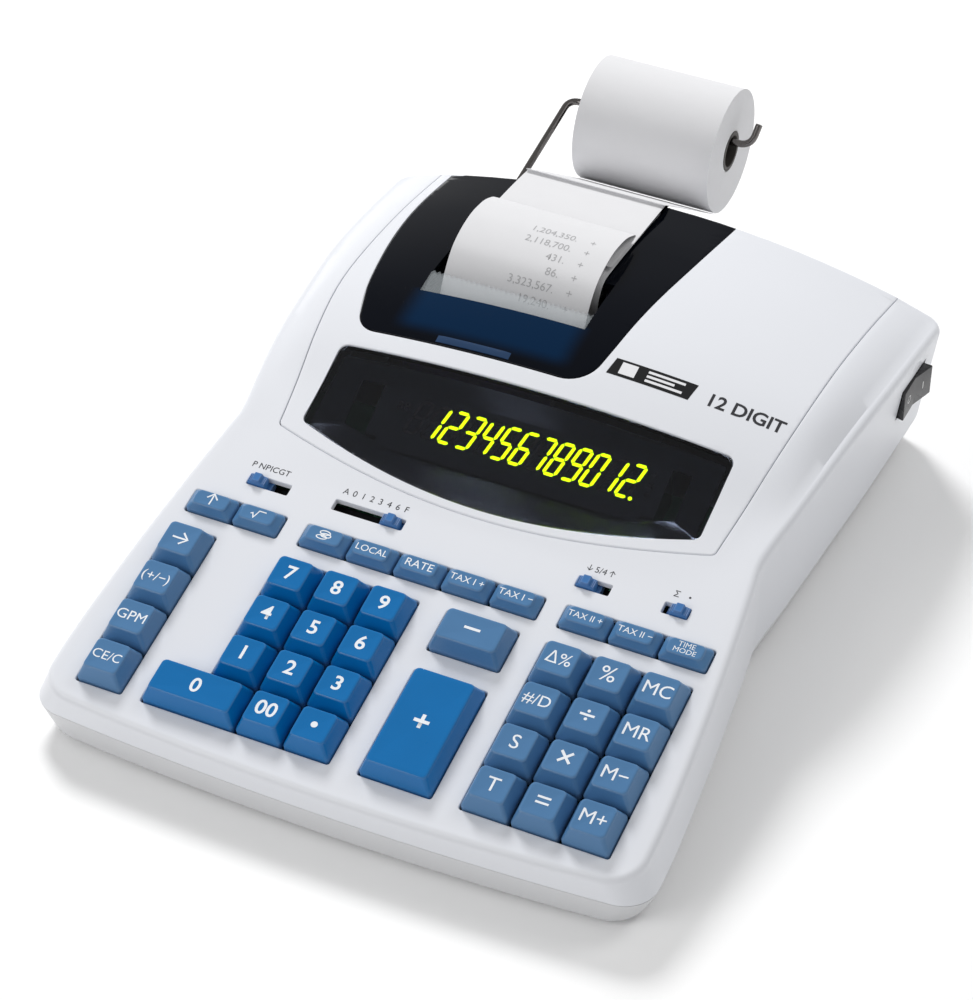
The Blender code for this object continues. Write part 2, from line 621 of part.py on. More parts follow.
def slide_switches(holes):
    """Knobs that slide along their slots, each held under the case's top by a wider foot."""
    half, depth, ridge = SLIDER_SLOT_DEPTH / 2, SLIDER_SLOT_DEPTH - 2 * FIT_GAP, SLIDER_KNOB_LENGTH * 0.45
    length, foot_top = SLIDER_KNOB_LENGTH, -WALL - FIT_GAP
    sections = ((length + SLIDER_FOOT, depth + SLIDER_FOOT, foot_top - SLIDER_FOOT),
                (length + SLIDER_FOOT, depth + SLIDER_FOOT, foot_top),
                (length, depth, foot_top), (length, depth, SLIDER_SHOULDER),
                (ridge, depth * 0.9, SLIDER_PROUD - KEY_SOFT), (ridge * 0.75, depth * 0.75, SLIDER_PROUD))
    for name, (start, end, v, share) in SLIDERS.items():
        holes.append(deck_hole([(start, v - half), (end, v - half), (end, v + half), (start, v + half)]))
        knob = stack(name, sections, FIT_GAP, paint=knob_blue, parent=centre)
        room = end - start - SLIDER_KNOB_LENGTH - 2 * FIT_GAP
        on_deck(knob, start + FIT_GAP + SLIDER_KNOB_LENGTH / 2 + share * room, v)
        shade(knob)


def shell_piece(name, paint, keep, cut):
    """A piece of the case's thick skin: what lies in the keep block and outside the cut ones."""
    piece = copy_of(outer, name, centre)
    piece.data.materials.append(paint)
    if keep:
        boolean(piece, keep, "INTERSECT")
    boolean(piece, inner, "DIFFERENCE")
    for other in cut:
        boolean(piece, other, "DIFFERENCE")
    return piece


# ---- scene ----------------------------------------------------------------------------------------------
for old in list(bpy.data.objects):
    bpy.data.objects.remove(old)

centre = bpy.data.objects.new("centre", None)
bpy.context.scene.collection.objects.link(centre)
centre.location = (0, -CENTRE_Y, 0)

shell_white = material("shell_white", (0.78, 0.79, 0.83), 0.42)
panel_white = material("panel_white", (0.78, 0.79, 0.83), 0.42)
lower_white = material("lower_white", (0.70, 0.70, 0.70), 0.5)
key_bright = material("key_bright_blue", (0.0, 0.14, 0.38), 0.35)
key_grey = material("key_grey_blue", (0.07, 0.18, 0.36), 0.38)
knob_blue = material("knob_blue", (0.05, 0.16, 0.38), 0.35)
window_smoke = material("window_smoke", (0.02, 0.02, 0.03), 0.05, alpha=0.35)
cover_smoke = material("cover_smoke", (0.01, 0.03, 0.06), 0.08, alpha=0.5)
clear_plastic = material("clear_plastic", (0.8, 0.86, 0.9), 0.05, alpha=0.3)
black_plastic = material("black_plastic", (0.015, 0.015, 0.017), 0.4)
paper_white = material("paper_white", (0.85, 0.85, 0.85), 0.9)
wire_steel = material("wire_steel", (0.6, 0.6, 0.62), 0.25, 1.0)
tube_glass = material("tube_glass", (0.02, 0.02, 0.02), 0.05)
board_green = material("board_green", (0.03, 0.16, 0.07), 0.45)
frame_steel = material("frame_steel", (0.45, 0.46, 0.48), 0.35, 1.0)
roller_rubber = material("roller_rubber", (0.02, 0.02, 0.02), 0.8)
ink_felt = material("ink_felt", (0.05, 0.02, 0.12), 0.9)
core_steel = material("core_steel", (0.25, 0.25, 0.27), 0.4, 1.0)

# ---- keys and switches, with the openings they work in ---------------------------------------------------
openings = []
column(openings, LEFT_COLUMN_CENTRE, LEFT_KEYS, key_grey)
number_pad(openings)
operator_keys(openings)
right_block(openings)
low_row(openings)
slide_switches(openings)

# ---- power rocker: it turns on pins between two shelves behind the right wall ----------------------------
rocker_y, rocker_z = ROCKER_CENTRE
pivot = (half_width(rocker_y) - ROCKER_INSET, rocker_y, rocker_z)
lean, reach = ROCKER_SWING / 2, ROCKER_LENGTH / 2
tip_x, tip_y = ROCKER_INSET + reach * math.sin(lean), reach * math.cos(lean)
end_y = reach - ROCKER_EDGE
rocker_plan = [(tip_x, -tip_y), (ROCKER_INSET, 0), (tip_x, tip_y), (ROCKER_EDGE, end_y),
               (-ROCKER_BACK, ROCKER_BACK), (-ROCKER_BACK, -ROCKER_BACK), (ROCKER_EDGE, -end_y)]
rocker = prism("power_rocker", rocker_plan, -ROCKER_HEIGHT / 2, ROCKER_HEIGHT / 2, paint=black_plastic,
               parent=centre)
pin_reach = ROCKER_HEIGHT / 2 + SHELF_THICKNESS
pins = prism("pins", disc(PIN_RADIUS), -pin_reach, pin_reach, parent=centre, cutter=True)
boolean(rocker, pins, "UNION")
apply_all(rocker)
bpy.data.objects.remove(pins)
rocker.location = pivot
rocker.rotation_euler = (0, 0, -lean)
shade(rocker)

swept = math.hypot(tip_x, tip_y) * math.sin(math.atan2(tip_y, tip_x) + lean)
hole_half = swept + ROCKER_CLEARANCE
hole_height = ROCKER_HEIGHT / 2 + ROCKER_CLEARANCE
shelf_in, shelf_out = pivot[0] - ROCKER_BACK - SHELF_THICKNESS, pivot[0] + ROCKER_INSET - WALL / 2
rocker_hole = box("rocker_hole", (pivot[0] - ROCKER_BACK, rocker_y - hole_half, rocker_z - hole_height),
                  (pivot[0] + 2 * ROCKER_INSET, rocker_y + hole_half, rocker_z + hole_height),
                  parent=centre, cutter=True)
pin_holes = prism("pin_holes", disc(PIN_RADIUS + AXLE_CLEARANCE, centre_at=pivot[:2]),
                  rocker_z - hole_height - 2 * SHELF_THICKNESS, rocker_z + hole_height + 2 * SHELF_THICKNESS,
                  parent=centre, cutter=True)
shelves = []
for side in (-1, 1):
    near = rocker_z + side * hole_height
    far = near + side * SHELF_THICKNESS
    shelves.append(box("shelf", (shelf_in, rocker_y - ROCKER_BACK, min(near, far)),
                       (shelf_out, rocker_y + ROCKER_BACK, max(near, far)), cutter=True))
shelves = merged("shelves", shelves)

# ---- case shells ----------------------------------------------------------------------------------------
outer = case_block(0, SEAM_HEIGHT, "outer", parent=centre, cutter=True)
inner = case_block(WALL, SEAM_HEIGHT - WALL, "inner", parent=centre, cutter=True)
deck_holes = merged("deck_holes", openings)
gap = FIT_GAP / 2
panel_hole = lid_block("panel_hole", panel_outline, gap, PANEL_REAR_DROP)
panel_shape = lid_block("panel_shape", panel_outline, -gap, PANEL_REAR_DROP)
cover_hole = lid_block("cover_hole", cover_outline, gap, COVER_REAR_DROP)
cover_shape = lid_block("cover_shape", cover_outline, -gap, COVER_REAR_DROP)
window_hole = prism("window_hole", window_outline(gap), LID_FLOOR, LID_CEILING, parent=centre, cutter=True)
window_shape = prism("window_shape", window_outline(-gap), LID_FLOOR, LID_CEILING, parent=centre, cutter=True)
slot_half = PAPER_WIDTH / 2 + SLOT_SIDE_CLEARANCE
paper_slot = box("paper_slot", (PAPER_CENTRE_X - slot_half, SLOT_FRONT_Y, LID_FLOOR),
                 (PAPER_CENTRE_X + slot_half, SLOT_FRONT_Y + SLOT_DEPTH, LID_CEILING), parent=centre, cutter=True)
wire_x = PAPER_CENTRE_X - PAPER_WIDTH / 2 - WIRE_ARM_SIDE
wire_z = PANEL_REAR_DROP - WIRE_BELOW_LIP
wire_hole = mesh_object("wire_hole", *loft([[(wire_x + a, y, wire_z + b) for a, b in disc(WIRE_RADIUS + FIT_GAP)]
                                            for y in (CASE_REAR_Y - 2 * WALL, CASE_REAR_Y + WALL)]),
                        parent=centre, cutter=True)

upper_case = shell_piece("upper_case", shell_white, None, (panel_hole, deck_holes, wire_hole))
boolean(upper_case, shelves, "UNION")
boolean(upper_case, rocker_hole, "DIFFERENCE")
boolean(upper_case, pin_holes, "DIFFERENCE")
top_panel = shell_piece("top_panel", panel_white, panel_shape, (window_hole, cover_hole))
display_window = shell_piece("display_window", window_smoke, window_shape, ())
printer_cover = shell_piece("printer_cover", cover_smoke, cover_shape, (paper_slot,))
for piece in (upper_case, top_panel, display_window, printer_cover):
    apply_all(piece)
    shade(piece)

# ---- lower case: a tray with feet, and posts under the key board -----------------------------------------
seam = flared(case_outline())
levels = ((FOOT_HEIGHT, 1), (FOOT_HEIGHT + 1.2 * MM, 0.75), (SEAM_HEIGHT - FIT_GAP, 0))
tray = mesh_object("lower_case", *loft([[(x, y, z) for x, y in tapered(seam, g)] for z, g in levels]),
                   paint=lower_white, parent=centre)
levels = ((FLOOR_TOP, 0.8), (SEAM_HEIGHT, 0))
hollow = mesh_object("hollow", *loft([[(x, y, z) for x, y in grown(tapered(seam, g), -WALL)] for z, g in levels]),
                     parent=centre, cutter=True)
boolean(tray, hollow, "DIFFERENCE")
supports = [prism("foot", disc(FOOT_RADIUS, 20, place), 0, FOOT_HEIGHT + WALL / 2, cutter=True) for place in FEET]
for x, v in POSTS:
    y = deck_place(0, v, -BOARD_DEPTH)[1]
    top = deck_place(0, v, -BOARD_DEPTH - BOARD_THICKNESS)[2] - POST_RADIUS * math.tan(DECK_TILT) - FIT_GAP
    supports.append(prism("post", disc(POST_RADIUS, 12, (x, y)), FLOOR_TOP - WALL / 2, top, cutter=True))
boolean(tray, merged("supports", supports), "UNION")
apply_all(tray)
shade(tray)

# ---- key board and display tube -------------------------------------------------------------------------
board = box("key_board", (-BOARD_HALF, BOARD_FRONT, -BOARD_THICKNESS), (BOARD_HALF, BOARD_REAR, 0),
            paint=board_green, parent=centre)
board.location = deck_place(0, 0, -BOARD_DEPTH)
board.rotation_euler = (DECK_TILT, 0, 0)

half_l, half_d, half_t = TUBE_LENGTH / 2, TUBE_DEPTH / 2, TUBE_THICKNESS / 2
tube = stack("display_tube", ((TUBE_LENGTH, TUBE_DEPTH, -half_t), (TUBE_LENGTH, TUBE_DEPTH, half_t)), KEY_CORNER,
             paint=tube_glass, parent=centre)
tube_y, tube_z = TUBE_Y, board_top(TUBE_Y) + TUBE_ABOVE_BOARD
tube.location = (TUBE_X, tube_y, tube_z)
tube.rotation_euler = (TUBE_TILT, 0, 0)
near, far = tube_y - half_d * BRACKET_SHARE, tube_y + half_d * BRACKET_SHARE
ends = []
for side in (-1, 1):
    x = TUBE_X + side * (half_l + BRACKET_LENGTH / 2 - KEY_CORNER)
    rise = [(y, tube_z + (y - tube_y) * math.tan(TUBE_TILT) + half_t) for y in (far, near)]
    ends.append(side_plate("bracket", [(near, board_top(near) + FIT_GAP), (far, board_top(far) + FIT_GAP)] + rise,
                           x - BRACKET_LENGTH / 2, x + BRACKET_LENGTH / 2, cutter=True))
boolean(tube, merged("brackets", ends), "UNION")
apply_all(tube)
shade(tube)

# ---- printer: frame, rollers, paper ---------------------------------------------------------------------
paper_left, paper_right = PAPER_CENTRE_X - PAPER_WIDTH / 2, PAPER_CENTRE_X + PAPER_WIDTH / 2
frame_left, frame_right = paper_left - FRAME_SIDE_CLEARANCE, paper_right + FRAME_SIDE_CLEARANCE
frame_base = FLOOR_TOP + FIT_GAP
frame_front, frame_rear = INK_AXIS[0] - FRAME_MARGIN, FEED_AXIS[0] + FRAME_MARGIN
frame_side = [(frame_front, frame_base), (frame_rear, frame_base), (frame_rear, FEED_AXIS[1] + FRAME_LIP),
              (frame_front, INK_AXIS[1] + FRAME_LIP)]
frame = box("printer_frame", (frame_left, frame_front, frame_base),
            (frame_right, frame_rear, frame_base + FRAME_PLATE), paint=frame_steel, parent=centre)
for name, x0 in (("left_plate", frame_left - FRAME_PLATE), ("right_plate", frame_right)):
    overlap = FRAME_PLATE / 10
    plate = side_plate(name, frame_side, x0 - overlap, x0 + FRAME_PLATE + overlap, parent=centre, cutter=True)
    boolean(frame, plate, "UNION")
for name, axis in (("feed_bearings", FEED_AXIS), ("ink_bearings", INK_AXIS)):
    bore = cylinder_x(name, AXLE_RADIUS + AXLE_CLEARANCE, frame_left - 2 * FRAME_PLATE, frame_right + 2 * FRAME_PLATE,
                      axis, 16, parent=centre, cutter=True)
    boolean(frame, bore, "DIFFERENCE")


def roller(name, radius, axis, paint):
    """A roller on its own axle, which runs through both plates of the frame."""
    end = FRAME_PLATE + 2 * FIT_GAP
    turn = [2 * math.pi * i / 24 for i in range(24)]
    face = FRAME_SIDE_CLEARANCE - 3 * FIT_GAP
    stations = ((frame_left - end, AXLE_RADIUS), (paper_left - face, AXLE_RADIUS), (paper_left - face, radius),
                (paper_right + face, radius), (paper_right + face, AXLE_RADIUS), (frame_right + end, AXLE_RADIUS))
    rings = [[(x - PAPER_CENTRE_X, r * math.cos(a), r * math.sin(a)) for a in turn] for x, r in stations]
    made = mesh_object(name, *loft(rings), paint=paint, parent=centre)
    made.location = (PAPER_CENTRE_X, *axis)
    shade(made)
    return made


roller("feed_roller", FEED_RADIUS, FEED_AXIS, roller_rubber)
roller("ink_roller", INK_RADIUS, INK_AXIS, ink_felt)


def arc(axis, radius, start, end, steps):
    """Points in the y, z plane round an axis, angles in degrees from +Y towards +Z."""
    angles = [math.radians(start + (end - start) * i / steps) for i in range(steps + 1)]
    return [(axis[0] + radius * math.cos(a), axis[1] + radius * math.sin(a)) for a in angles]


def strip(name, path, thickness, left, right, **extra):
    """A sheet that follows a path in the y, z plane, from one X to another."""
    middle = [Vector(p) for p in path]
    offsets = []
    for i, here in enumerate(middle):
        along = (middle[min(i + 1, len(middle) - 1)] - middle[max(i - 1, 0)]).normalized()
        offsets.append(Vector((-along.y, along.x)) * thickness / 2)
    outline = [p + o for p, o in zip(middle, offsets)] + [p - o for p, o in reversed(list(zip(middle, offsets)))]
    rings = [[(x, p.x, p.y) for p in outline] for x in (left, right)]
    return mesh_object(name, *loft(rings), **extra)


# the strip leaves the roll's underside, crosses the rear edge, runs under the feed roller and rises again
crest = (REAR_CREST[0] * MM, REAR_CREST[1] * MM)
to_roll = Vector(ROLL_AXIS) - Vector(crest)
web_radius = ROLL_RADIUS + PAPER_THICKNESS / 2 + FIT_GAP
drop_angle = math.degrees(math.atan2(to_roll.y, to_roll.x) - math.asin(web_radius / to_roll.length))
leave_angle = math.radians(drop_angle - 90)
leave = (ROLL_AXIS[0] + web_radius * math.cos(leave_angle), ROLL_AXIS[1] + web_radius * math.sin(leave_angle))
lap = FEED_RADIUS + PAPER_THICKNESS / 2 + FIT_GAP
web = [leave, crest] + [(y * MM, z * MM) for y, z in REAR_WEB]
web += arc(FEED_AXIS, lap, 5, -207, 10) + [(y * MM, z * MM) for y, z in FRONT_WEB]
web = strip("paper_web", web, PAPER_THICKNESS, paper_left, paper_right, paint=paper_white, parent=centre)
shade(web, 60)


def tube_of_paper(name, outer_radius, inner_radius, left, right, sides=48):
    """A roll with an open core, centred on its own axis."""
    turn = [2 * math.pi * i / sides for i in range(sides)]
    stations = ((left, inner_radius), (left, outer_radius), (right, outer_radius), (right, inner_radius))
    rings = [[(x, r * math.cos(a), r * math.sin(a)) for a in turn] for x, r in stations]
    return mesh_object(name, *loft(rings + rings[:1], closed_ends=False), paint=paper_white, parent=centre)


roll = tube_of_paper("paper_roll", ROLL_RADIUS, CORE_HOLE_RADIUS, -PAPER_WIDTH / 2, PAPER_WIDTH / 2)
roll.location = (PAPER_CENTRE_X, *ROLL_AXIS)
shade(roll)

# ---- tear bar: a clear plate with a serrated rear edge, lying in the front of the paper slot --------------
bar_half = PAPER_WIDTH / 2 + SLOT_SIDE_CLEARANCE - FIT_GAP
teeth = round(2 * bar_half / TOOTH_PITCH)
pitch = 2 * bar_half / teeth
front, tips = Vector(BAR_FRONT) * MM, Vector(BAR_REAR) * MM
along = (tips - front).normalized()
length = (tips - front).length
bar_outline = [(-bar_half, 0), (bar_half, 0), (bar_half, length - TOOTH_DEPTH)]
for i in range(teeth):
    x = bar_half - i * pitch
    bar_outline += [(x - pitch / 2, length), (x - pitch, length - TOOTH_DEPTH)]
rings = [[(PAPER_CENTRE_X + x, front.x + d * along.x, front.y + d * along.y + rise) for x, d in bar_outline]
         for rise in (0, BAR_THICKNESS)]
mesh_object("tear_bar", *loft(rings), paint=clear_plastic, parent=centre)

# ---- roll holder: one bent wire from the rear wall through the roll's core ------------------------------
hub_z = ROLL_AXIS[1] + CORE_HOLE_RADIUS - WIRE_RADIUS - FIT_GAP
wire_path = [Vector((wire_x, CASE_REAR_Y - WIRE_INSIDE, wire_z)),
             Vector((wire_x, CASE_REAR_Y + WIRE_INSIDE, wire_z)),
             Vector((wire_x, ROLL_AXIS[0], hub_z)), Vector((paper_right + WIRE_TIP, ROLL_AXIS[0], hub_z)),
             Vector((paper_right + WIRE_TIP, ROLL_AXIS[0], hub_z)) + Vector(WIRE_TURN_UP)]


def rounded_path(corners, radius, steps=4):
    """A path through the corners, each inner one turned into a curve of about this radius."""
    path = [corners[0]]
    for before, here, after in zip(corners, corners[1:], corners[2:]):
        a, b = here + (before - here).normalized() * radius, here + (after - here).normalized() * radius
        for i in range(steps + 1):
            t = i / steps
            path.append(a * (1 - t) ** 2 + here * 2 * t * (1 - t) + b * t * t)
    return path + [corners[-1]]


def pipe(name, path, radius, sides=10, **extra):
    """A round bar along a path."""
    side = Vector((0, 0, 1))
    rings = []
    for i, here in enumerate(path):
        along = (path[min(i + 1, len(path) - 1)] - path[max(i - 1, 0)]).normalized()
        across = side.cross(along).normalized() if i == 0 else (across - along * across.dot(along)).normalized()
        up = along.cross(across)
        turn = [2 * math.pi * k / sides for k in range(sides)]
        rings.append([tuple(here + (across * math.cos(a) + up * math.sin(a)) * radius) for a in turn])
    return mesh_object(name, *loft(rings), **extra)


holder = pipe("roll_holder", rounded_path(wire_path, WIRE_BEND), WIRE_RADIUS, paint=wire_steel, parent=centre)
shade(holder)

# ---- transformer: a core on two feet with its winding through the middle --------------------------------
width, depth, height = TRANSFORMER
x, y = TRANSFORMER_PLACE
low = FLOOR_TOP + FIT_GAP
transformer = box("transformer", (x - width / 2, y - depth / 2, low),
                  (x + width / 2, y + depth / 2, low + height), paint=core_steel, parent=centre)
half_w, half_d, half_h = width * WINDING[0] / 2, depth * WINDING[1] / 2, height * WINDING[2] / 2
winding = box("winding", (x - half_w, y - half_d, low + height / 2 - half_h),
              (x + half_w, y + half_d, low + height / 2 + half_h), parent=centre, cutter=True)
half_w, half_d = width * FLANGE[0] / 2, depth * FLANGE[1] / 2
flange = box("flange", (x - half_w, y - half_d, low), (x + half_w, y + half_d, low + FRAME_PLATE),
             parent=centre, cutter=True)
boolean(transformer, winding, "UNION")
boolean(transformer, flange, "UNION")
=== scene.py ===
"""Desk printing calculator: detailed pieces, finishes and studio, on the frame of its CAD model."""

import math
from bisect import bisect_right

import bmesh
import bpy
from bpy.props import (FloatProperty, FloatVectorProperty, PointerProperty,
                       StringProperty)
from bpy.types import Operator, Panel, PropertyGroup
from mathutils import Matrix, Vector


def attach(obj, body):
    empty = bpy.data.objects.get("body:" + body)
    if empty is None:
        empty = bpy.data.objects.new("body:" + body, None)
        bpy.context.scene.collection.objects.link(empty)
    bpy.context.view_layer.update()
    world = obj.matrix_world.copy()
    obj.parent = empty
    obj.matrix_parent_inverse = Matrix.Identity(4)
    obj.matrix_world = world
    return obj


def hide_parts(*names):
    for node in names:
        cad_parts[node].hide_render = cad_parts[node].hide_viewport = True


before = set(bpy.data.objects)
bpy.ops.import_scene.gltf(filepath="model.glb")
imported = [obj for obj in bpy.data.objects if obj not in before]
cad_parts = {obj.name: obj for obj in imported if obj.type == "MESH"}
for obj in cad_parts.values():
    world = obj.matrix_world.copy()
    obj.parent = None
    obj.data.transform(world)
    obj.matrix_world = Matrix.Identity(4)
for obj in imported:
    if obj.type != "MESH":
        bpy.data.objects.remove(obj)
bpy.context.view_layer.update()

bl_info = {
    "name": "Desk Printing Calculator",
    "version": (1, 0, 0),
    "blender": (4, 5, 0),
    "location": "3D View > Sidebar > Calculator",
    "description": "Builds a desk printing calculator's detailed pieces, finishes and studio",
    "category": "Object",
}

MM = 0.001
CENTRE_Y = 0.17625              # from the front edge of the key openings to the frame's origin
DECK_TILT = math.radians(13.0)
DECK_HEIGHT = 24 * MM
DECK = Matrix.Translation((0, -CENTRE_Y, DECK_HEIGHT)) @ Matrix.Rotation(DECK_TILT, 4, "X")

# ---- the case's lines, in millimetres from the front edge of the key openings ----------------------------
WALL, GAP, EDGE_ROUND = 2.4 * MM, 0.3 * MM, 3.0 * MM
FRONT_Y, REAR_Y, FRONT_BOW, FRONT_CORNER, REAR_CORNER = -12 * MM, 277 * MM, 5 * MM, 13 * MM, 6.5 * MM
SEAM_HEIGHT = 13 * MM
HALF_WIDTH = ((-12, 109.6), (19, 109.6), (60, 106.9), (92, 103.7), (116, 100.8), (123, 99.9), (130, 100.5),
              (147, 103.1), (166, 105.4), (190, 107.6), (217, 109.8), (245, 110.9), (277, 111.5))
SIDE_FLARE = ((-12, 4.6), (37, 2.0), (86, 0.2), (123, -0.9), (165, -3.6), (217, -5.2), (277, -5.0))
CROWN_LINE = ((130, 58.0), (157, 69.7), (181, 76.6), (206, 79.0), (242, 77.2), (277, 73.0))
SEAM_LINE = ((139.5, 57.3), (160, 64.8), (182, 69.7), (205, 70.3), (240, 67.0), (277, 60.2))
SHOULDER_LINE = ((148, 57.4), (166, 59.9), (191, 61.6), (217, 61.6), (245, 59.0), (277, 54.6))
SEAM_HALF_WIDTH = ((102, 80.5), (118, 82.7), (140, 85.6), (160, 88.3), (182, 90.5), (217, 91.6), (277, 93.1))
CROWN_START, SEAM_START, SHOULDER_START = 102.0, 118.0, 130.0
PANEL_FRONT, PANEL_BOW, PANEL_HALF, PANEL_DROP = 106.9 * MM, 14.0 * MM, 83.2 * MM, 58 * MM
WINDOW_FRONT, WINDOW_BOW, WINDOW_HALF, WINDOW_TOP = 110.2 * MM, 14.6 * MM, 75.8 * MM, 156.9 * MM
COVER_FRONT, COVER_DROP = 164.4 * MM, 63 * MM
COVER_LEFT = ((150, 69.5), (164, 73.6), (183, 79.1), (195, 81.4), (215, 84.7), (235, 87.0), (256, 88.0),
              (290, 88.4))
COVER_RIGHT = ((150, 12.0), (164, 15.6), (178, 18.2), (200, 20.9), (244, 25.8), (290, 29.3))
PAPER_LEFT, PAPER_RIGHT = -55.7 * MM, 1.3 * MM
SLOT = (-59.9 * MM, 5.5 * MM, 187 * MM, 214 * MM)      # left, right, front, rear
ROLL_AXIS = (339.5 * MM, 59.7 * MM)
ROCKER_PLACE = (248 * MM, 42.5 * MM)
WIRE_X, WIRE_Z = -67.7 * MM, 53.5 * MM
TUBE_PLACE, TUBE_TILT = Vector((1.5 * MM, 139 * MM - CENTRE_Y, 53 * MM)), math.radians(29.0)

# ---- switches: slot's left and right end, its middle up the deck, and the marks printed above ------------
SLOTS = {
    "print_mode_slider": (-82.0, -66.0, 98.2, ("P", "NP", "IC", "GT")),
    "decimal_slider": (-48.8, -21.7, 98.4, ("A", "0", "1", "2", "3", "4", "6", "F")),
    "rounding_slider": (43.7, 56.1, 97.9, ("↓", "5/4", "↑")),
    "total_slider": (75.2, 84.8, 98.1, ("Σ", "•")),
}
LEGENDS = {
    "key_0": "0", "key_00": "00", "key_decimal_point": "•", "key_1": "1", "key_2": "2", "key_3": "3",
    "key_4": "4", "key_5": "5", "key_6": "6", "key_7": "7", "key_8": "8", "key_9": "9", "key_plus": "+",
    "key_minus": "−", "key_clear": "CE/C", "key_average": "GPM", "key_sign_change": "(+/−)",
    "key_shift_right": "→", "key_total": "T", "key_equals": "=", "key_memory_plus": "M+",
    "key_subtotal": "S", "key_multiply": "×", "key_memory_minus": "M−", "key_number_date": "#/D",
    "key_divide": "÷", "key_memory_recall": "MR", "key_delta_percent": "Δ%", "key_percent": "%",
    "key_memory_clear": "MC", "key_paper_feed": "↑", "key_square_root": "", "key_convert": "",
    "key_local_currency": "LOCAL", "key_rate": "RATE", "key_tax_one_plus": "TAX I +",
    "key_tax_one_minus": "TAX I −", "key_tax_two_plus": "TAX II +", "key_tax_two_minus": "TAX II −",
    "key_time_mode": "TIME\nMODE",
}
# legend height in millimetres, where it isn't the ordinary one
LEGEND_SIZES = {"key_clear": 5.0, "key_average": 5.6, "key_sign_change": 5.2, "key_local_currency": 3.8,
                "key_rate": 4.5, "key_tax_one_plus": 3.8, "key_tax_one_minus": 3.8, "key_tax_two_plus": 3.5,
                "key_tax_two_minus": 3.5, "key_time_mode": 2.9, "key_plus": 11.0, "key_minus": 12.5,
                "key_decimal_point": 8.5, "key_shift_right": 8.5, "key_paper_feed": 7.0, "key_square_root": 6.6,
                "key_divide": 11.0, "key_multiply": 11.5, "key_equals": 10.0, "key_percent": 8.6,
                "key_delta_percent": 6.8, "key_number_date": 6.2, "key_memory_plus": 7.2,
                "key_memory_minus": 7.2, "key_memory_recall": 7.2, "key_memory_clear": 7.2}
BRIGHT_KEYS = ("key_0", "key_00", "key_decimal_point", "key_1", "key_2", "key_3", "key_4", "key_5", "key_6",
               "key_7", "key_8", "key_9", "key_plus")
KEY_BLOCKS = (("key_clear", "key_shift_right"), ("key_plus",), ("key_minus",), ("key_total", "key_memory_clear"),
              ("key_paper_feed", "key_square_root"), ("key_convert", "key_tax_one_minus"),
              ("key_tax_two_plus", "key_time_mode"))
FOOT_PLACES = [(x * MM, y * MM - CENTRE_Y) for x in (-88, 88) for y in (14, 250)]
# Signs drawn with a pen, as (line, closed), in millimetres from the middle of the key's top
COIN = [(1.9 * math.cos(math.tau * i / 28), 0.8 * math.sin(math.tau * i / 28)) for i in range(28)]
DRAWN_SIGNS = {
    "key_square_root": [([(-2.6, -0.2), (-1.9, 0.25), (-1.0, -1.6), (0.1, 1.6), (2.8, 1.6)], False)],
    "key_convert": [([(x - 0.7, y - 0.9) for x, y in COIN], True),
                    ([(x + 0.5, y + 0.1) for x, y in COIN], True),
                    ([(x - 0.1, y + 1.1) for x, y in COIN], True)],
}


# ==== curves and outlines =================================================================================
def smooth_line(points):
    """A function through (place, value) points in millimetres, joined with smooth cubics."""
    places = [p[0] for p in points]
    values = [p[1] for p in points]
    steps = [(values[i + 1] - values[i]) / (places[i + 1] - places[i]) for i in range(len(points) - 1)]
    slopes = [steps[0]] + [(a + b) / 2 for a, b in zip(steps, steps[1:])] + [steps[-1]]

    def value(place):
        place = place / MM
        i = min(max(bisect_right(places, place) - 1, 0), len(points) - 2)
        span = places[i + 1] - places[i]
        t = min(max((place - places[i]) / span, 0.0), 1.0)
        a = (1 + 2 * t) * (1 - t) ** 2 * values[i] + t * (1 - t) ** 2 * span * slopes[i]
        b = t * t * (3 - 2 * t) * values[i + 1] + t * t * (t - 1) * span * slopes[i + 1]
        return (a + b) * MM

    return value


def deck_height(y):
    return DECK_HEIGHT + y * math.tan(DECK_TILT)


def rising_line(start, points):
    """A height line that follows the key deck up to start and then runs through the points."""
    lead = tuple((y, deck_height(y * MM) / MM) for y in (start - 12.0, start))
    line = smooth_line(lead + points)
    return lambda y: deck_height(y) if y <= start * MM else line(y)


crown_line = rising_line(CROWN_START, CROWN_LINE)
seam_line = rising_line(SEAM_START, SEAM_LINE)
shoulder_line = rising_line(SHOULDER_START, SHOULDER_LINE)
half_width = smooth_line(HALF_WIDTH)
side_flare = smooth_line(SIDE_FLARE)
seam_half_width = smooth_line(SEAM_HALF_WIDTH)


def top_height(x, y):
    """Height of the case's top: the key deck, then a crowned panel between two falling shoulders."""
    if y <= CROWN_START * MM:
        return deck_height(y)
    side = seam_line(y)
    rise = crown_line(y) - side
    half = seam_half_width(y)
    out = abs(x) - half
    if out <= 0:
        return side + rise * (1 - (x / half) ** 2)
    slope = -2 * rise / half
    reach = half_width(y) - EDGE_ROUND - half
    bend = (shoulder_line(y) - side - slope * reach) / reach ** 2
    return side + slope * out + bend * out * out


def rounded_polygon(corners, steps=6):
    """A closed outline with each (x, y, radius) corner turned into an arc."""
    outline = []
    for i, (x, y, radius) in enumerate(corners):
        here = Vector((x, y))
        if radius == 0:
            outline.append((x, y))
            continue
        before = (Vector(corners[i - 1][:2]) - here).normalized()
        after = (Vector(corners[(i + 1) % len(corners)][:2]) - here).normalized()
        half_angle = before.angle(after) / 2
        centre = here + (before + after).normalized() * (radius / math.sin(half_angle))
        start = here + before * (radius / math.tan(half_angle)) - centre
        end = here + after * (radius / math.tan(half_angle)) - centre
        turn = start.angle_signed(end)
        for k in range(steps + 1):
            arm = start.copy()
            arm.rotate(Matrix.Rotation(-turn * k / steps, 2))
            outline.append(tuple(centre + arm))
    return outline


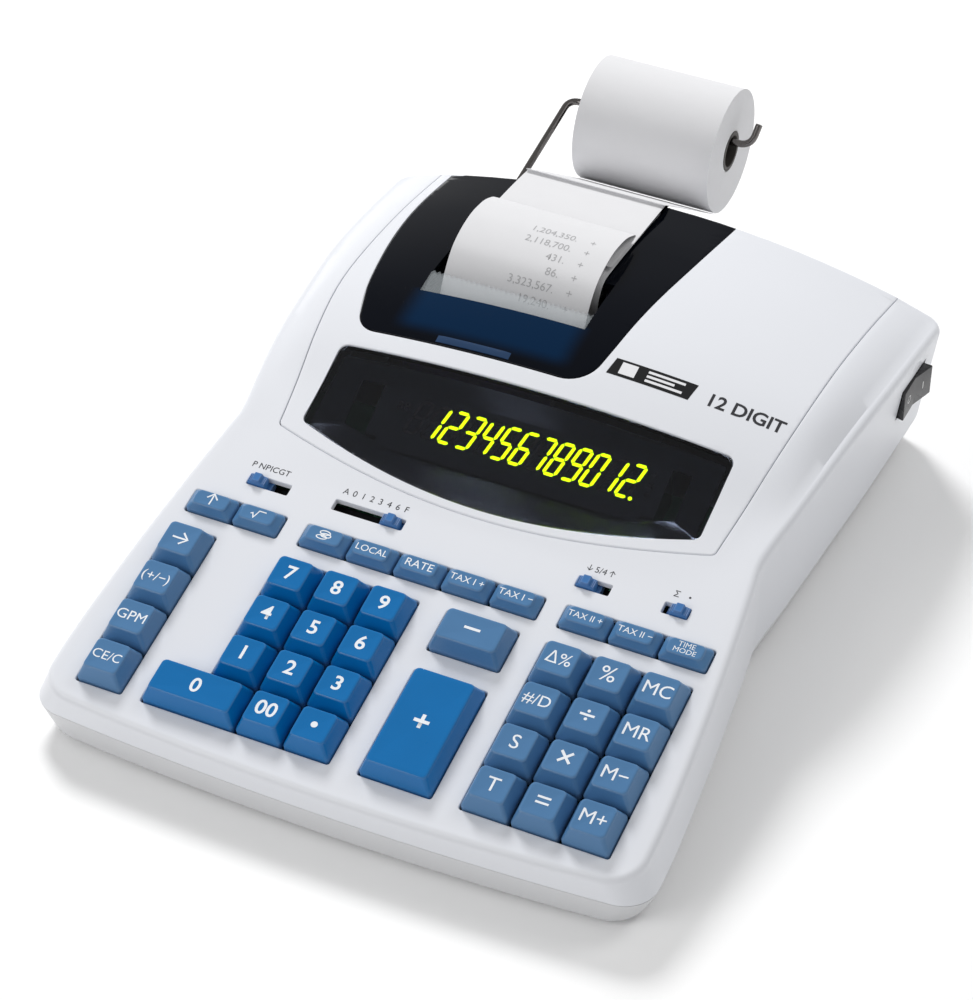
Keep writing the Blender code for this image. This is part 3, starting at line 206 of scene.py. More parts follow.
def grown(outline, amount):
    """The outline moved outwards by amount, or inwards if it is negative."""
    count = len(outline)
    moved = []
    for i in range(count):
        before, here, after = (Vector(outline[k % count]) for k in (i - 1, i, i + 1))
        along = ((here - before).normalized() + (after - here).normalized()).normalized()
        moved.append((here.x + along.y * amount, here.y - along.x * amount))
    return moved


def spread(low, high, count):
    return [low + (high - low) * i / (count - 1) for i in range(count)]


def case_outline():
    """Plan outline of the case's top edge, anticlockwise from the front middle."""
    front = [(x, FRONT_Y + FRONT_BOW * (x / half_width(0)) ** 2, 0) for x in spread(0, 84 * MM, 15)[1:]]
    side = [(half_width(y), y, 0) for y in spread(8 * MM, 262 * MM, 86)]
    rear = [(x, REAR_Y, 0) for x in spread(92 * MM, 12 * MM, 9)]
    right = front + [(half_width(0), FRONT_Y + FRONT_BOW, FRONT_CORNER)] + side
    right += [(half_width(REAR_Y), REAR_Y, REAR_CORNER)] + rear
    left = [(-x, y, r) for x, y, r in reversed(right)]
    return rounded_polygon([(0, FRONT_Y, 0)] + right + [(0, REAR_Y, 0)] + left, 10)


def flared(outline, share=1.0):
    """The outline lower down, where the walls stand out or in by a share of the side flare."""
    return [(x * (1 + share * side_flare(y) / half_width(y)), y) for x, y in outline]


def tapered(outline, share):
    """The outline drawn in below the parting line, as the lower case is."""
    middle = (FRONT_Y + REAR_Y) / 2
    across = 1 - share * 4.5 * MM / half_width(middle)
    along = 1 - share * 2.2 * MM / (REAR_Y - middle)
    return [(x * across, middle + (y - middle) * along) for x, y in outline]


def bowed(half, front, bow, count):
    return [(half * t, front + bow * t * t, 0) for t in spread(-0.94, 0.94, count)]


def panel_outline(grow):
    corner = PANEL_FRONT + PANEL_BOW
    sides = [(seam_half_width(y), y, 0) for y in spread(127 * MM, 277 * MM, 26) + [290 * MM]]
    corners = [(-PANEL_HALF, corner, 2.5 * MM)] + bowed(PANEL_HALF, PANEL_FRONT, PANEL_BOW, 25)
    corners += [(PANEL_HALF, corner, 2.5 * MM)] + sides + [(-x, y, r) for x, y, r in reversed(sides)]
    return grown(rounded_polygon(corners), grow)


def window_outline(grow):
    corner, top, half = WINDOW_FRONT + WINDOW_BOW, WINDOW_TOP, WINDOW_HALF
    corners = [(-half, corner, 3 * MM)] + bowed(half, WINDOW_FRONT, WINDOW_BOW, 25) + [(half, corner, 3 * MM)]
    corners += [(half, top, 3 * MM)] + [(x, top, 0) for x in spread(half * 0.9, -half * 0.9, 19)]
    return grown(rounded_polygon(corners + [(-half, top, 3 * MM)]), grow)


def cover_outline(grow):
    right_line, left_line = smooth_line(COVER_RIGHT), smooth_line(COVER_LEFT)
    places = spread(184 * MM, 277 * MM, 18) + [290 * MM]
    corners = [(-left_line(COVER_FRONT), COVER_FRONT, 9 * MM)]
    corners += [(x, COVER_FRONT, 0) for x in spread(-60 * MM, 0, 13)]
    corners += [(right_line(COVER_FRONT), COVER_FRONT, 12 * MM)] + [(right_line(y), y, 0) for y in places]
    corners += [(-left_line(y), y, 0) for y in reversed(places)]
    return grown(rounded_polygon(corners, 9), grow)


def rectangle(width, depth, radius, steps=4, middle=(0.0, 0.0)):
    x, y = width / 2, depth / 2
    corners = [(-x, -y, radius), (x, -y, radius), (x, y, radius), (-x, y, radius)]
    return [(middle[0] + a, middle[1] + b) for a, b in rounded_polygon(corners, steps)]


def disc(radius, sides=48, middle=(0.0, 0.0)):
    turn = [2 * math.pi * i / sides for i in range(sides)]
    return [(middle[0] + radius * math.cos(a), middle[1] + radius * math.sin(a)) for a in turn]


def smooth_path(points, steps=6):
    """A path that runs smoothly through the points, with steps to each stretch between two of them."""
    points = [Vector(p) for p in points]
    path = []
    for i in range(len(points) - 1):
        p0, p1, p2, p3 = (points[min(max(k, 0), len(points) - 1)] for k in (i - 1, i, i + 1, i + 2))
        for k in range(steps):
            t = k / steps
            path.append(0.5 * (2 * p1 + (p2 - p0) * t + (2 * p0 - 5 * p1 + 4 * p2 - p3) * t * t
                               + (3 * p1 - p0 - 3 * p2 + p3) * t ** 3))
    return path + [points[-1]]


# ==== meshes ==============================================================================================
def loft(rings, closed_ends=True):
    """Vertices and faces of a skin over rings that have the same number of points."""
    count = len(rings[0])
    verts = [point for ring in rings for point in ring]
    faces = []
    for i in range(len(rings) - 1):
        for j in range(count):
            k = (j + 1) % count
            faces.append((i * count + j, i * count + k, (i + 1) * count + k, (i + 1) * count + j))
    if closed_ends:
        faces.append(tuple(range(count))[::-1])
        faces.append(tuple(range((len(rings) - 1) * count, len(rings) * count)))
    return verts, faces


def mesh_object(name, verts, faces, matrix=None, paint=None):
    """A mesh object at the origin, its doubles merged and its faces turned outwards, in the row frame."""
    mesh = bpy.data.meshes.new(name)
    mesh.from_pydata(verts, [], faces)
    work = bmesh.new()
    work.from_mesh(mesh)
    bmesh.ops.remove_doubles(work, verts=work.verts, dist=1e-6)
    bmesh.ops.recalc_face_normals(work, faces=work.faces)
    work.to_mesh(mesh)
    work.free()
    mesh.transform(matrix if matrix is not None else Matrix.Translation((0, -CENTRE_Y, 0)))
    made = bpy.data.objects.new(name, mesh)
    bpy.context.scene.collection.objects.link(made)
    if paint:
        mesh.materials.append(paint)
    return made


def prism(name, outline, low, high, **extra):
    return mesh_object(name, *loft([[(x, y, z) for x, y in outline] for z in (low, high)]), **extra)


def box(name, low, high, **extra):
    outline = [(low[0], low[1]), (high[0], low[1]), (high[0], high[1]), (low[0], high[1])]
    return prism(name, outline, low[2], high[2], **extra)


def boolean(target, other, operation):
    step = target.modifiers.new(operation.lower(), "BOOLEAN")
    step.operation = operation
    step.solver = "EXACT"
    step.object = other


def baked(target):
    """Turns an object's modifiers into its mesh."""
    bpy.context.view_layer.update()
    mesh = bpy.data.meshes.new_from_object(target.evaluated_get(bpy.context.evaluated_depsgraph_get()))
    target.modifiers.clear()
    target.data = mesh
    return target


def joined(name, parts, paint=None):
    """One object from several mesh objects."""
    work = bmesh.new()
    for part in parts:
        work.from_mesh(part.data)
        bpy.data.objects.remove(part)
    mesh = bpy.data.meshes.new(name)
    work.to_mesh(mesh)
    work.free()
    made = bpy.data.objects.new(name, mesh)
    bpy.context.scene.collection.objects.link(made)
    if paint:
        mesh.materials.append(paint)
    return made


def drop(*helpers):
    for helper in helpers:
        bpy.data.objects.remove(helper)


def settle(piece, body="case", node=None, angle=35.0):
    """Shades a finished piece, makes it ride on its body and lets it stand for its CAD node."""
    piece.data.shade_smooth()
    piece.data.set_sharp_from_angle(angle=math.radians(angle))
    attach(piece, body)
    if node:
        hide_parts(node)
    return piece


def deck_box(node):
    """Corners of a CAD node in the key deck's own axes: across, up the slope, out of it."""
    points = [DECK.inverted() @ v.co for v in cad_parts[node].data.vertices]
    return (Vector([min(p[i] for p in points) for i in range(3)]),
            Vector([max(p[i] for p in points) for i in range(3)]))


def quarter_round(radius, steps=4):
    """(depth, inset) steps of a small rounding, from the wall up to just under the face."""
    angles = [math.radians(82 * i / steps) for i in range(steps + 1)]
    return [(radius * (1 - math.sin(a)), radius * (1 - math.cos(a))) for a in angles]


def surface_cutter(name, outline, gap, radius, floor=25 * MM, keep=False):
    """A block under and over the case's top whose side is rounded where it meets that surface."""
    sign = -1 if keep else 1
    rings = [[(x, y, floor) for x, y in outline(gap)]]
    for depth, inset in quarter_round(radius):
        rings.append([(x, y, top_height(x, y) - depth) for x, y in outline(gap + sign * inset)])
    rings.append([(x, y, 110 * MM) for x, y, _ in rings[-1]])
    return mesh_object(name, *loft(rings))


def deck_cutter(outline, radius=0.45 * MM, reach=12 * MM):
    """A hole through the key deck, square to it, with a small rounding round its upper edge."""
    rings = [[(x, y, -reach) for x, y in outline]]
    for depth, inset in quarter_round(radius):
        rings.append([(x, y, -depth) for x, y in grown(outline, inset)])
    rings.append([(x, y, reach) for x, y, _ in rings[-1]])
    return mesh_object("deck_hole", *loft(rings), matrix=DECK)


def stroke_mesh(line, width, closed, height_at, matrix):
    """A pen stroke of one width along line, laid 0.05 mm above the surface height_at(x, y)."""
    points = [Vector(p) for p in line] + ([Vector(line[0])] if closed else [])
    fine = [points[0]]
    for start, end in zip(points, points[1:]):
        steps = max(1, math.ceil((end - start).length / (0.4 * MM)))
        fine += [start.lerp(end, i / steps) for i in range(1, steps + 1)]
    if closed:
        fine.pop()
    sides = []
    for i, point in enumerate(fine):
        before = fine[i - 1] if i or closed else point * 2 - fine[1]
        after = fine[(i + 1) % len(fine)] if i + 1 < len(fine) or closed else point * 2 - fine[i - 1]
        run_in, run_out = (point - before).normalized(), (after - point).normalized()
        along = (run_in + run_out).normalized()
        across = Vector((-along.y, along.x)) * (width / 2 / max(0.4, along.dot(run_out)))
        sides.append((point + across, point - across))
    verts = [(p.x, p.y, height_at(p.x, p.y) + 0.05 * MM) for pair in sides for p in pair]
    count = len(sides)
    faces = [(2 * i, 2 * i + 1, 2 * j + 1, 2 * j)
             for i, j in ((i, (i + 1) % count) for i in range(count if closed else count - 1))]
    return mesh_object("stroke", verts, faces, matrix=matrix)


def words(name, text, size, matrix, paint, weight=0.0, align="CENTER", wrap=None):
    """Flat lettering as a mesh, laid through matrix, or bent by wrap, which moves each point."""
    curve = bpy.data.curves.new(name, "FONT")
    curve.body = text
    curve.size = size
    curve.offset = weight * size
    curve.align_x = align
    curve.align_y = "CENTER"
    curve.resolution_u = 4
    curve.space_line = 0.85
    made = bpy.data.objects.new(name, curve)
    bpy.context.scene.collection.objects.link(made)
    bpy.context.view_layer.update()
    mesh = bpy.data.meshes.new_from_object(made.evaluated_get(bpy.context.evaluated_depsgraph_get()))
    bpy.data.objects.remove(made)
    work = bmesh.new()
    work.from_mesh(mesh)
    bmesh.ops.triangulate(work, faces=work.faces)
    long_edges = [e for e in work.edges if e.calc_length() > size * 0.35]
    if wrap and long_edges:
        bmesh.ops.subdivide_edges(work, edges=long_edges, cuts=1)
        bmesh.ops.triangulate(work, faces=work.faces)
    work.to_mesh(mesh)
    work.free()
    if wrap:
        for vertex in mesh.vertices:
            vertex.co = wrap(vertex.co.copy())
    mesh.transform(matrix)
    mesh.materials.clear()
    mesh.materials.append(paint)
    piece = bpy.data.objects.new(name, mesh)
    bpy.context.scene.collection.objects.link(piece)
    return piece


# ==== geometry nodes ======================================================================================
def new_tree(name, inputs):
    """An empty geometry node tree with a Geometry input and output and more named inputs."""
    tree = bpy.data.node_groups.new(name, "GeometryNodeTree")
    tree.interface.new_socket("Geometry", in_out="OUTPUT", socket_type="NodeSocketGeometry")
    tree.interface.new_socket("Geometry", in_out="INPUT", socket_type="NodeSocketGeometry")
    for label, kind, value in inputs:
        socket = tree.interface.new_socket(label, in_out="INPUT", socket_type="NodeSocket" + kind)
        if value is not None:
            socket.default_value = value
    tree.interface.new_socket("Finish", in_out="INPUT", socket_type="NodeSocketMaterial")
    return tree, tree.nodes.new("NodeGroupInput"), tree.nodes.new("NodeGroupOutput")


def finish_tree(tree, source, group_in, group_out):
    """Ends a tree in Realize Instances, Merge by Distance and Set Material."""
    real = tree.nodes.new("GeometryNodeRealizeInstances")
    weld = tree.nodes.new("GeometryNodeMergeByDistance")
    weld.inputs["Distance"].default_value = 2e-6
    paint = tree.nodes.new("GeometryNodeSetMaterial")
    tree.links.new(source, real.inputs["Geometry"])
    tree.links.new(real.outputs[0], weld.inputs["Geometry"])
    tree.links.new(weld.outputs[0], paint.inputs["Geometry"])
    tree.links.new(group_in.outputs["Finish"], paint.inputs["Material"])
    tree.links.new(paint.outputs[0], group_out.inputs[0])
    return tree


def line_tree():
    """Repeats the object's own mesh along a straight line."""
    tree, start, end = new_tree("repeat_in_line", (("Count", "Int", 8), ("Spacing", "Vector", (0.002, 0, 0))))
    line = tree.nodes.new("GeometryNodeMeshLine")
    copies = tree.nodes.new("GeometryNodeInstanceOnPoints")
    tree.links.new(start.outputs["Count"], line.inputs["Count"])
    tree.links.new(start.outputs["Spacing"], line.inputs["Offset"])
    tree.links.new(line.outputs[0], copies.inputs["Points"])
    tree.links.new(start.outputs["Geometry"], copies.inputs["Instance"])
    return finish_tree(tree, copies.outputs[0], start, end)


def places_tree():
    """Sets a pattern object on every point of the object's own mesh, turned by a seeded random angle."""
    tree, start, end = new_tree("set_on_points", (("Pattern", "Object", None), ("Largest Turn", "Float", 0.0),
                                                  ("Seed", "Int", 3)))
    info = tree.nodes.new("GeometryNodeObjectInfo")
    copies = tree.nodes.new("GeometryNodeInstanceOnPoints")
    angle = tree.nodes.new("FunctionNodeRandomValue")
    turn = tree.nodes.new("ShaderNodeCombineXYZ")
    tree.links.new(start.outputs["Pattern"], info.inputs["Object"])
    tree.links.new(info.outputs["Geometry"], copies.inputs["Instance"])
    tree.links.new(start.outputs["Geometry"], copies.inputs["Points"])
    tree.links.new(start.outputs["Largest Turn"], angle.inputs[3])
    tree.links.new(start.outputs["Seed"], angle.inputs["Seed"])
    tree.links.new(angle.outputs[1], turn.inputs["Z"])
    tree.links.new(turn.outputs[0], copies.inputs["Rotation"])
    return finish_tree(tree, copies.outputs[0], start, end)


def wound_tree():
    """Winds the object's own profile along a flat spiral, as a paper roll is wound."""
    tree, start, end = new_tree("wound_strip", (("Turns", "Float", 60.0), ("Inner Radius", "Float", 0.0082),
                                                ("Outer Radius", "Float", 0.025), ("Steps per Turn", "Int", 64)))
    spiral = tree.nodes.new("GeometryNodeCurveSpiral")
    spiral.inputs["Height"].default_value = 0.0
    profile = tree.nodes.new("GeometryNodeMeshToCurve")
    sweep = tree.nodes.new("GeometryNodeCurveToMesh")
    sweep.inputs["Fill Caps"].default_value = True
    for socket, label in (("Turns", "Rotations"), ("Inner Radius", "Start Radius"),
                          ("Outer Radius", "End Radius"), ("Steps per Turn", "Resolution")):
        tree.links.new(start.outputs[socket], spiral.inputs[label])
    tree.links.new(start.outputs["Geometry"], profile.inputs["Mesh"])
    tree.links.new(spiral.outputs[0], sweep.inputs["Curve"])
    tree.links.new(profile.outputs[0], sweep.inputs["Profile Curve"])
    return finish_tree(tree, sweep.outputs[0], start, end)


def grow_nodes(target, tree, values):
    """Runs a tree on an object with the given inputs and leaves the result as its plain mesh."""
    step = target.modifiers.new(tree.name, "NODES")
    step.node_group = tree
    for item in tree.interface.items_tree:
        if item.item_type == "SOCKET" and item.in_out == "INPUT" and item.name in values:
            step[item.identifier] = values[item.name]
    return baked(target)


# ==== finishes ============================================================================================
def finish(name, colour, roughness, *, metallic=0.0, grain=0.0, grain_size=0.6, mottle=0.03, mottle_size=25.0,
           wear=0.0, coat=0.0, transmission=0.0, specular=0.5):
    """A material with a fine surface grain, slow changes of tone and gloss, and paler worn edges.

    Grain is the depth of the texture in millimetres; grain_size and mottle_size are lengths in millimetres."""
    made = bpy.data.materials.new(name)
    made.use_nodes = True
    nodes, links = made.node_tree.nodes, made.node_tree.links
    shader = nodes["Principled BSDF"]
    for socket, value in (("Metallic", metallic), ("Coat Weight", coat), ("Transmission Weight", transmission),
                          ("Specular IOR Level", specular), ("Coat Roughness", 0.12), ("IOR", 1.46)):
        shader.inputs[socket].default_value = value
    place = nodes.new("ShaderNodeTexCoord")
    cloud = nodes.new("ShaderNodeTexNoise")
    cloud.inputs["Scale"].default_value = 1000.0 / mottle_size
    cloud.inputs["Detail"].default_value = 4.0
    links.new(place.outputs["Object"], cloud.inputs["Vector"])
    tone = nodes.new("ShaderNodeMix")
    tone.data_type = "RGBA"
    tone.inputs["A"].default_value = (*[c * (1 - mottle) for c in colour], 1)
    tone.inputs["B"].default_value = (*[min(c * (1 + mottle), 1) for c in colour], 1)
    links.new(cloud.outputs["Fac"], tone.inputs["Factor"])
    result = tone.outputs["Result"]
    if wear:
        edge = nodes.new("ShaderNodeNewGeometry")
        share = nodes.new("ShaderNodeMapRange")
        share.inputs["From Min"].default_value = 0.52
        share.inputs["From Max"].default_value = 0.62
        share.inputs["To Max"].default_value = wear
        worn = nodes.new("ShaderNodeMix")
        worn.data_type = "RGBA"
        worn.inputs["B"].default_value = (*[c + (1 - c) * 0.45 for c in colour], 1)
        links.new(edge.outputs["Pointiness"], share.inputs["Value"])
        links.new(share.outputs["Result"], worn.inputs["Factor"])
        links.new(result, worn.inputs["A"])
        result = worn.outputs["Result"]
    links.new(result, shader.inputs["Base Color"])
    gloss = nodes.new("ShaderNodeMapRange")
    gloss.inputs["To Min"].default_value = max(roughness - 0.05, 0.01)
    gloss.inputs["To Max"].default_value = roughness + 0.05
    links.new(cloud.outputs["Fac"], gloss.inputs["Value"])
    links.new(gloss.outputs["Result"], shader.inputs["Roughness"])
    if grain:
        fine = nodes.new("ShaderNodeTexNoise")
        fine.inputs["Scale"].default_value = 1000.0 / grain_size
        fine.inputs["Detail"].default_value = 2.0
        bump = nodes.new("ShaderNodeBump")
        bump.inputs["Distance"].default_value = grain * MM
        bump.inputs["Strength"].default_value = 0.6
        links.new(place.outputs["Object"], fine.inputs["Vector"])
        links.new(fine.outputs["Fac"], bump.inputs["Height"])
        links.new(bump.outputs["Normal"], shader.inputs["Normal"])
    return made


def glowing(name, colour, strength):
    """The phosphor of a lit segment."""
    made = finish(name, [c * 0.2 for c in colour], 0.5, mottle=0.05, mottle_size=1.5)
    shader = made.node_tree.nodes["Principled BSDF"]
    shader.inputs["Emission Color"].default_value = (*colour, 1)
    shader.inputs["Emission Strength"].default_value = strength
    return made


def cover_finish(name, colour, lit):
    """Smoked plastic that is black over the printer's dark inside, with a painted glow in front of the paper slot: a
    blue patch that stands for the paper's light showing through.
    """
    made = finish(name, colour, 0.07, mottle=0.1, mottle_size=40, specular=0.12)
    nodes, links = made.node_tree.nodes, made.node_tree.links
    shader = nodes["Principled BSDF"]
    place = nodes.new("ShaderNodeTexCoord")
    parts = nodes.new("ShaderNodeSeparateXYZ")
    links.new(place.outputs["Object"], parts.inputs[0])
    painted_glow_masks = []
    # Masks of the painted glow: across the paper's width, and from near the cover's front edge up to the slot.
    for axis, low, low_full, high_full, high in (("X", -64, -54, 0, 9), ("Y", -9.5, -3.0, 11.0, 12.5)):
        rise, fall = nodes.new("ShaderNodeMapRange"), nodes.new("ShaderNodeMapRange")
        rise.interpolation_type = fall.interpolation_type = "SMOOTHSTEP"
        rise.inputs["From Min"].default_value, rise.inputs["From Max"].default_value = low * MM, low_full * MM
        fall.inputs["From Min"].default_value, fall.inputs["From Max"].default_value = high * MM, high_full * MM
        both = nodes.new("ShaderNodeMath")
        both.operation = "MULTIPLY"
        links.new(parts.outputs[axis], rise.inputs["Value"])
        links.new(parts.outputs[axis], fall.inputs["Value"])
        links.new(rise.outputs["Result"], both.inputs[0])
        links.new(fall.outputs["Result"], both.inputs[1])
        painted_glow_masks.append(both)
    share = nodes.new("ShaderNodeMath")
    share.operation = "MULTIPLY"
    links.new(painted_glow_masks[0].outputs[0], share.inputs[0])
    links.new(painted_glow_masks[1].outputs[0], share.inputs[1])
    old = shader.inputs["Base Color"].links[0].from_socket
    # Painted glow: over the patch the base colour turns to the lit blue, which stands for light from the paper coming
    # through the smoked plastic.
    painted_glow_mix = nodes.new("ShaderNodeMix")
    painted_glow_mix.data_type = "RGBA"
    painted_glow_mix.inputs["B"].default_value = (*lit, 1)
    links.new(share.outputs[0], painted_glow_mix.inputs["Factor"])
    links.new(old, painted_glow_mix.inputs["A"])
    links.new(painted_glow_mix.outputs["Result"], shader.inputs["Base Color"])
    return made


def paper_finish(name, colour):
    made = finish(name, colour, 0.85, mottle=0.015, mottle_size=6.0, grain=0.02, grain_size=0.35, specular=0.2)
    made.node_tree.nodes["Principled BSDF"].inputs["Subsurface Weight"].default_value = 0.0
    return made


# ==== settings ============================================================================================
def colour_property(name, description, default):
    return FloatVectorProperty(name=name, description=description, default=default, subtype="COLOR", size=3,
                               min=0.0, max=1.0)


def length_property(name, description, default):
    return FloatProperty(name=name, description=description, default=default, min=0.0, unit="LENGTH",
                         precision=5)


class CaseSettings(PropertyGroup):
    shell: colour_property("Shell", "Colour of the upper case and the top panel", (0.76, 0.775, 0.815))
    tray: colour_property("Tray", "Colour of the lower case", (0.66, 0.665, 0.68))
    rubber: colour_property("Foot Pads", "Colour of the rubber foot pads", (0.03, 0.03, 0.032))
    seam_round: length_property("Seam Round", "Rounding along the seams of the shells", 0.4 * MM)
    opening_round: length_property("Opening Round", "Rounding round the key openings", 0.5 * MM)
    grain: FloatProperty(name="Grain", description="Depth of the moulded texture, in millimetres", default=0.006,
                         min=0.0)


class KeySettings(PropertyGroup):
    bright: colour_property("Number Keys", "Colour of the number keys and the plus key", (0.0, 0.145, 0.41))
    grey: colour_property("Function Keys", "Colour of the other keys", (0.075, 0.195, 0.38))
    knob: colour_property("Slide Knobs", "Colour of the slide switches' knobs", (0.05, 0.17, 0.42))
    legend: colour_property("Legends", "Colour of the key legends", (0.85, 0.88, 0.92))
    dish: length_property("Dish", "Depth of the hollow in a key's top", 0.4 * MM)
    inset: length_property("Top Inset", "How far a key's top draws in on each side", 2.2 * MM)
    soft: length_property("Soft Edge", "Rounding round a key's top", 0.8 * MM)
    legend_size: length_property("Legend Size", "Height of an ordinary legend", 7.8 * MM)


class DisplaySettings(PropertyGroup):
    readout: StringProperty(name="Readout", description="Digits that are lit", default="123456789012.")
    pitch: length_property("Digit Pitch", "From one digit to the next", 6.78 * MM)
    width: length_property("Digit Width", "Width of a digit", 4.3 * MM)
    height: length_property("Digit Height", "Height of a digit", 12.6 * MM)
    stroke: length_property("Stroke", "Width of a lit segment", 1.25 * MM)
    slant: FloatProperty(name="Slant", description="Sideways lean of the digits per unit of height", default=0.25)
    glow: colour_property("Glow", "Colour of the lit segments", (0.62, 1.0, 0.0))
    strength: FloatProperty(name="Strength", description="Brightness of the lit segments", default=4.5, min=0.0)
    smoke: colour_property("Window", "Tint of the display window", (0.42, 0.46, 0.55))


class PrinterSettings(PropertyGroup):
    cover: colour_property("Cover", "Colour of the smoked printer cover", (0.002, 0.003, 0.006))
    # Painted glow: the lit cover colour is a blue that stands for the paper's light showing through the smoked cover
    # in front of the slot.
    cover_painted_glow: colour_property("Lit Cover", "Colour of the cover in front of the paper", (0.001, 0.016, 0.05))
    tooth_pitch: length_property("Tooth Pitch", "From one tooth of the tear bar to the next", 1.94 * MM)
    tooth_depth: length_property("Tooth Depth", "Depth of the tear bar's teeth", 1.1 * MM)


class PaperSettings(PropertyGroup):
    paper: colour_property("Paper", "Colour of the paper", (0.72, 0.72, 0.735))
    ink: colour_property("Print", "Colour of the printed figures", (0.42, 0.42, 0.43))
    turns: FloatProperty(name="Turns", description="Turns of paper drawn on the roll", default=58.0, min=4.0)
    line_pitch: length_property("Line Pitch", "From one printed line to the next", 5.9 * MM)
    figure_size: length_property("Figure Size", "Height of the printed figures", 4.4 * MM)


class StudioSettings(PropertyGroup):
    place: FloatVectorProperty(name="Camera Place", description="Where the camera stands",
                               default=(0.37159, -0.86722, 0.79191), subtype="TRANSLATION", unit="LENGTH")
    turn: FloatVectorProperty(name="Camera Turn", description="How the camera is turned",
                              default=(0.8751526, -0.0066015, 0.4366912), subtype="EULER", unit="ROTATION")
    lens: FloatProperty(name="Lens", description="Focal length in millimetres, for a 36 mm wide sensor",
                        default=123.8, min=1.0)
    floor: colour_property("Floor", "Colour of the floor", (1.0, 1.0, 1.0))
    sky: FloatProperty(name="Surroundings", description="Brightness of the surroundings", default=0.42, min=0.0)


SETTINGS = (("calc_case", CaseSettings), ("calc_keys", KeySettings), ("calc_display", DisplaySettings),
            ("calc_printer", PrinterSettings), ("calc_paper", PaperSettings), ("calc_studio", StudioSettings))


# ==== pieces ==============================================================================================
def case_block(name, sink, bottom):
    """The upper half of the case as a solid whose top lies sink under the outer surface."""
    outline = case_outline()
    outer = grown(outline, -sink)
    edge = grown(outer, -EDGE_ROUND)
    foot = grown(flared(outline), -sink)
    top_ring = [(x, y, top_height(*e) - EDGE_ROUND - sink) for (x, y), e in zip(outer, edge)]
    rings = []
    for share in spread(0, 0.9, 6):
        rings.append([(a[0] + (b[0] - a[0]) * share, a[1] + (b[1] - a[1]) * share, bottom + (b[2] - bottom) * share)
                      for a, b in zip(foot, top_ring)])
    for turn in spread(0, math.pi / 2, 9):
        inset, low = EDGE_ROUND * (1 - math.cos(turn)), EDGE_ROUND * (1 - math.sin(turn)) + sink
        rings.append([(x, y, top_height(*e) - low) for (x, y), e in zip(grown(outer, -inset), edge)])
    front, rear, margin = FRONT_Y + FRONT_BOW + FRONT_CORNER, REAR_Y - REAR_CORNER, 22 * MM
    for share in [1 - 0.03 * i for i in range(1, 12)] + spread(0.61, 0.0, 17):
        ring = []
        for x, y in edge:
            along = min(max((y - front) / (rear - front), 0), 1)
            spine = front + margin + (rear - front - 2 * margin) * along
            px, py = x * share, spine + (y - spine) * share
            ring.append((px, py, top_height(px, py) - sink))
        rings.append(ring)
    verts, faces = loft(rings, closed_ends=False)
    faces.append(tuple(range(len(outline)))[::-1])
    return mesh_object(name, verts, faces)


def lid_block(name, outline, gap, radius, drop_height, keep):
    """A surface cutter that goes over the rear wall and stops part of the way down it."""
    block = surface_cutter(name, outline, gap, radius, keep=keep)
    y = REAR_Y - WALL - GAP
    low = box("low", (-0.13, y, 20 * MM), (0.13, y + 0.13, drop_height - gap))
    boolean(block, low, "DIFFERENCE")
    baked(block)
    drop(low)
    return block


def key_openings(radius):
    """Cutters for the blocks of keys and for the slide switches."""
    c = 0.5 * MM
    holes = []
    for names in KEY_BLOCKS:
        boxes = [deck_box(name) for name in names]
        low = [min(b[0][i] for b in boxes) - c for i in (0, 1)]
        high = [max(b[1][i] for b in boxes) + c for i in (0, 1)]
        if names[0] == "key_total":
            low[0] = deck_box("key_total")[0].x - c
        outline = rectangle(high[0] - low[0], high[1] - low[1], 0.9 * MM, 3,
                            ((low[0] + high[0]) / 2, (low[1] + high[1]) / 2))
        holes.append(deck_cutter(outline, radius))
    zero, point, one, nine = (deck_box(name) for name in ("key_0", "key_decimal_point", "key_1", "key_9"))
    corners = [(zero[0].x - c, zero[0].y - c), (point[1].x + c, point[0].y - c), (nine[1].x + c, nine[1].y + c),
               (one[0].x - c, nine[1].y + c), (one[0].x - c, zero[1].y + c), (zero[0].x - c, zero[1].y + c)]
    holes.append(deck_cutter(rounded_polygon([(x, y, 0.9 * MM) for x, y in corners], 3), radius))
    for start, end, v, _ in SLOTS.values():
        outline = rectangle((end - start) * MM, 4.7 * MM, 0.5 * MM, 3, ((start + end) / 2 * MM, v * MM))
        holes.append(deck_cutter(outline, 0.3 * MM))
    return joined("openings", holes)


def rocker_frame():
    """The pivot of the power rocker, and a matrix for things drawn flat on the right wall round it."""
    y, z = ROCKER_PLACE
    pivot = Vector((half_width(y) - 5 * MM, y - CENTRE_Y, z))
    face = Matrix(((0, 0, 1, 0), (1, 0, 0, 0), (0, 1, 0, 0), (0, 0, 0, 1)))
    return pivot, face


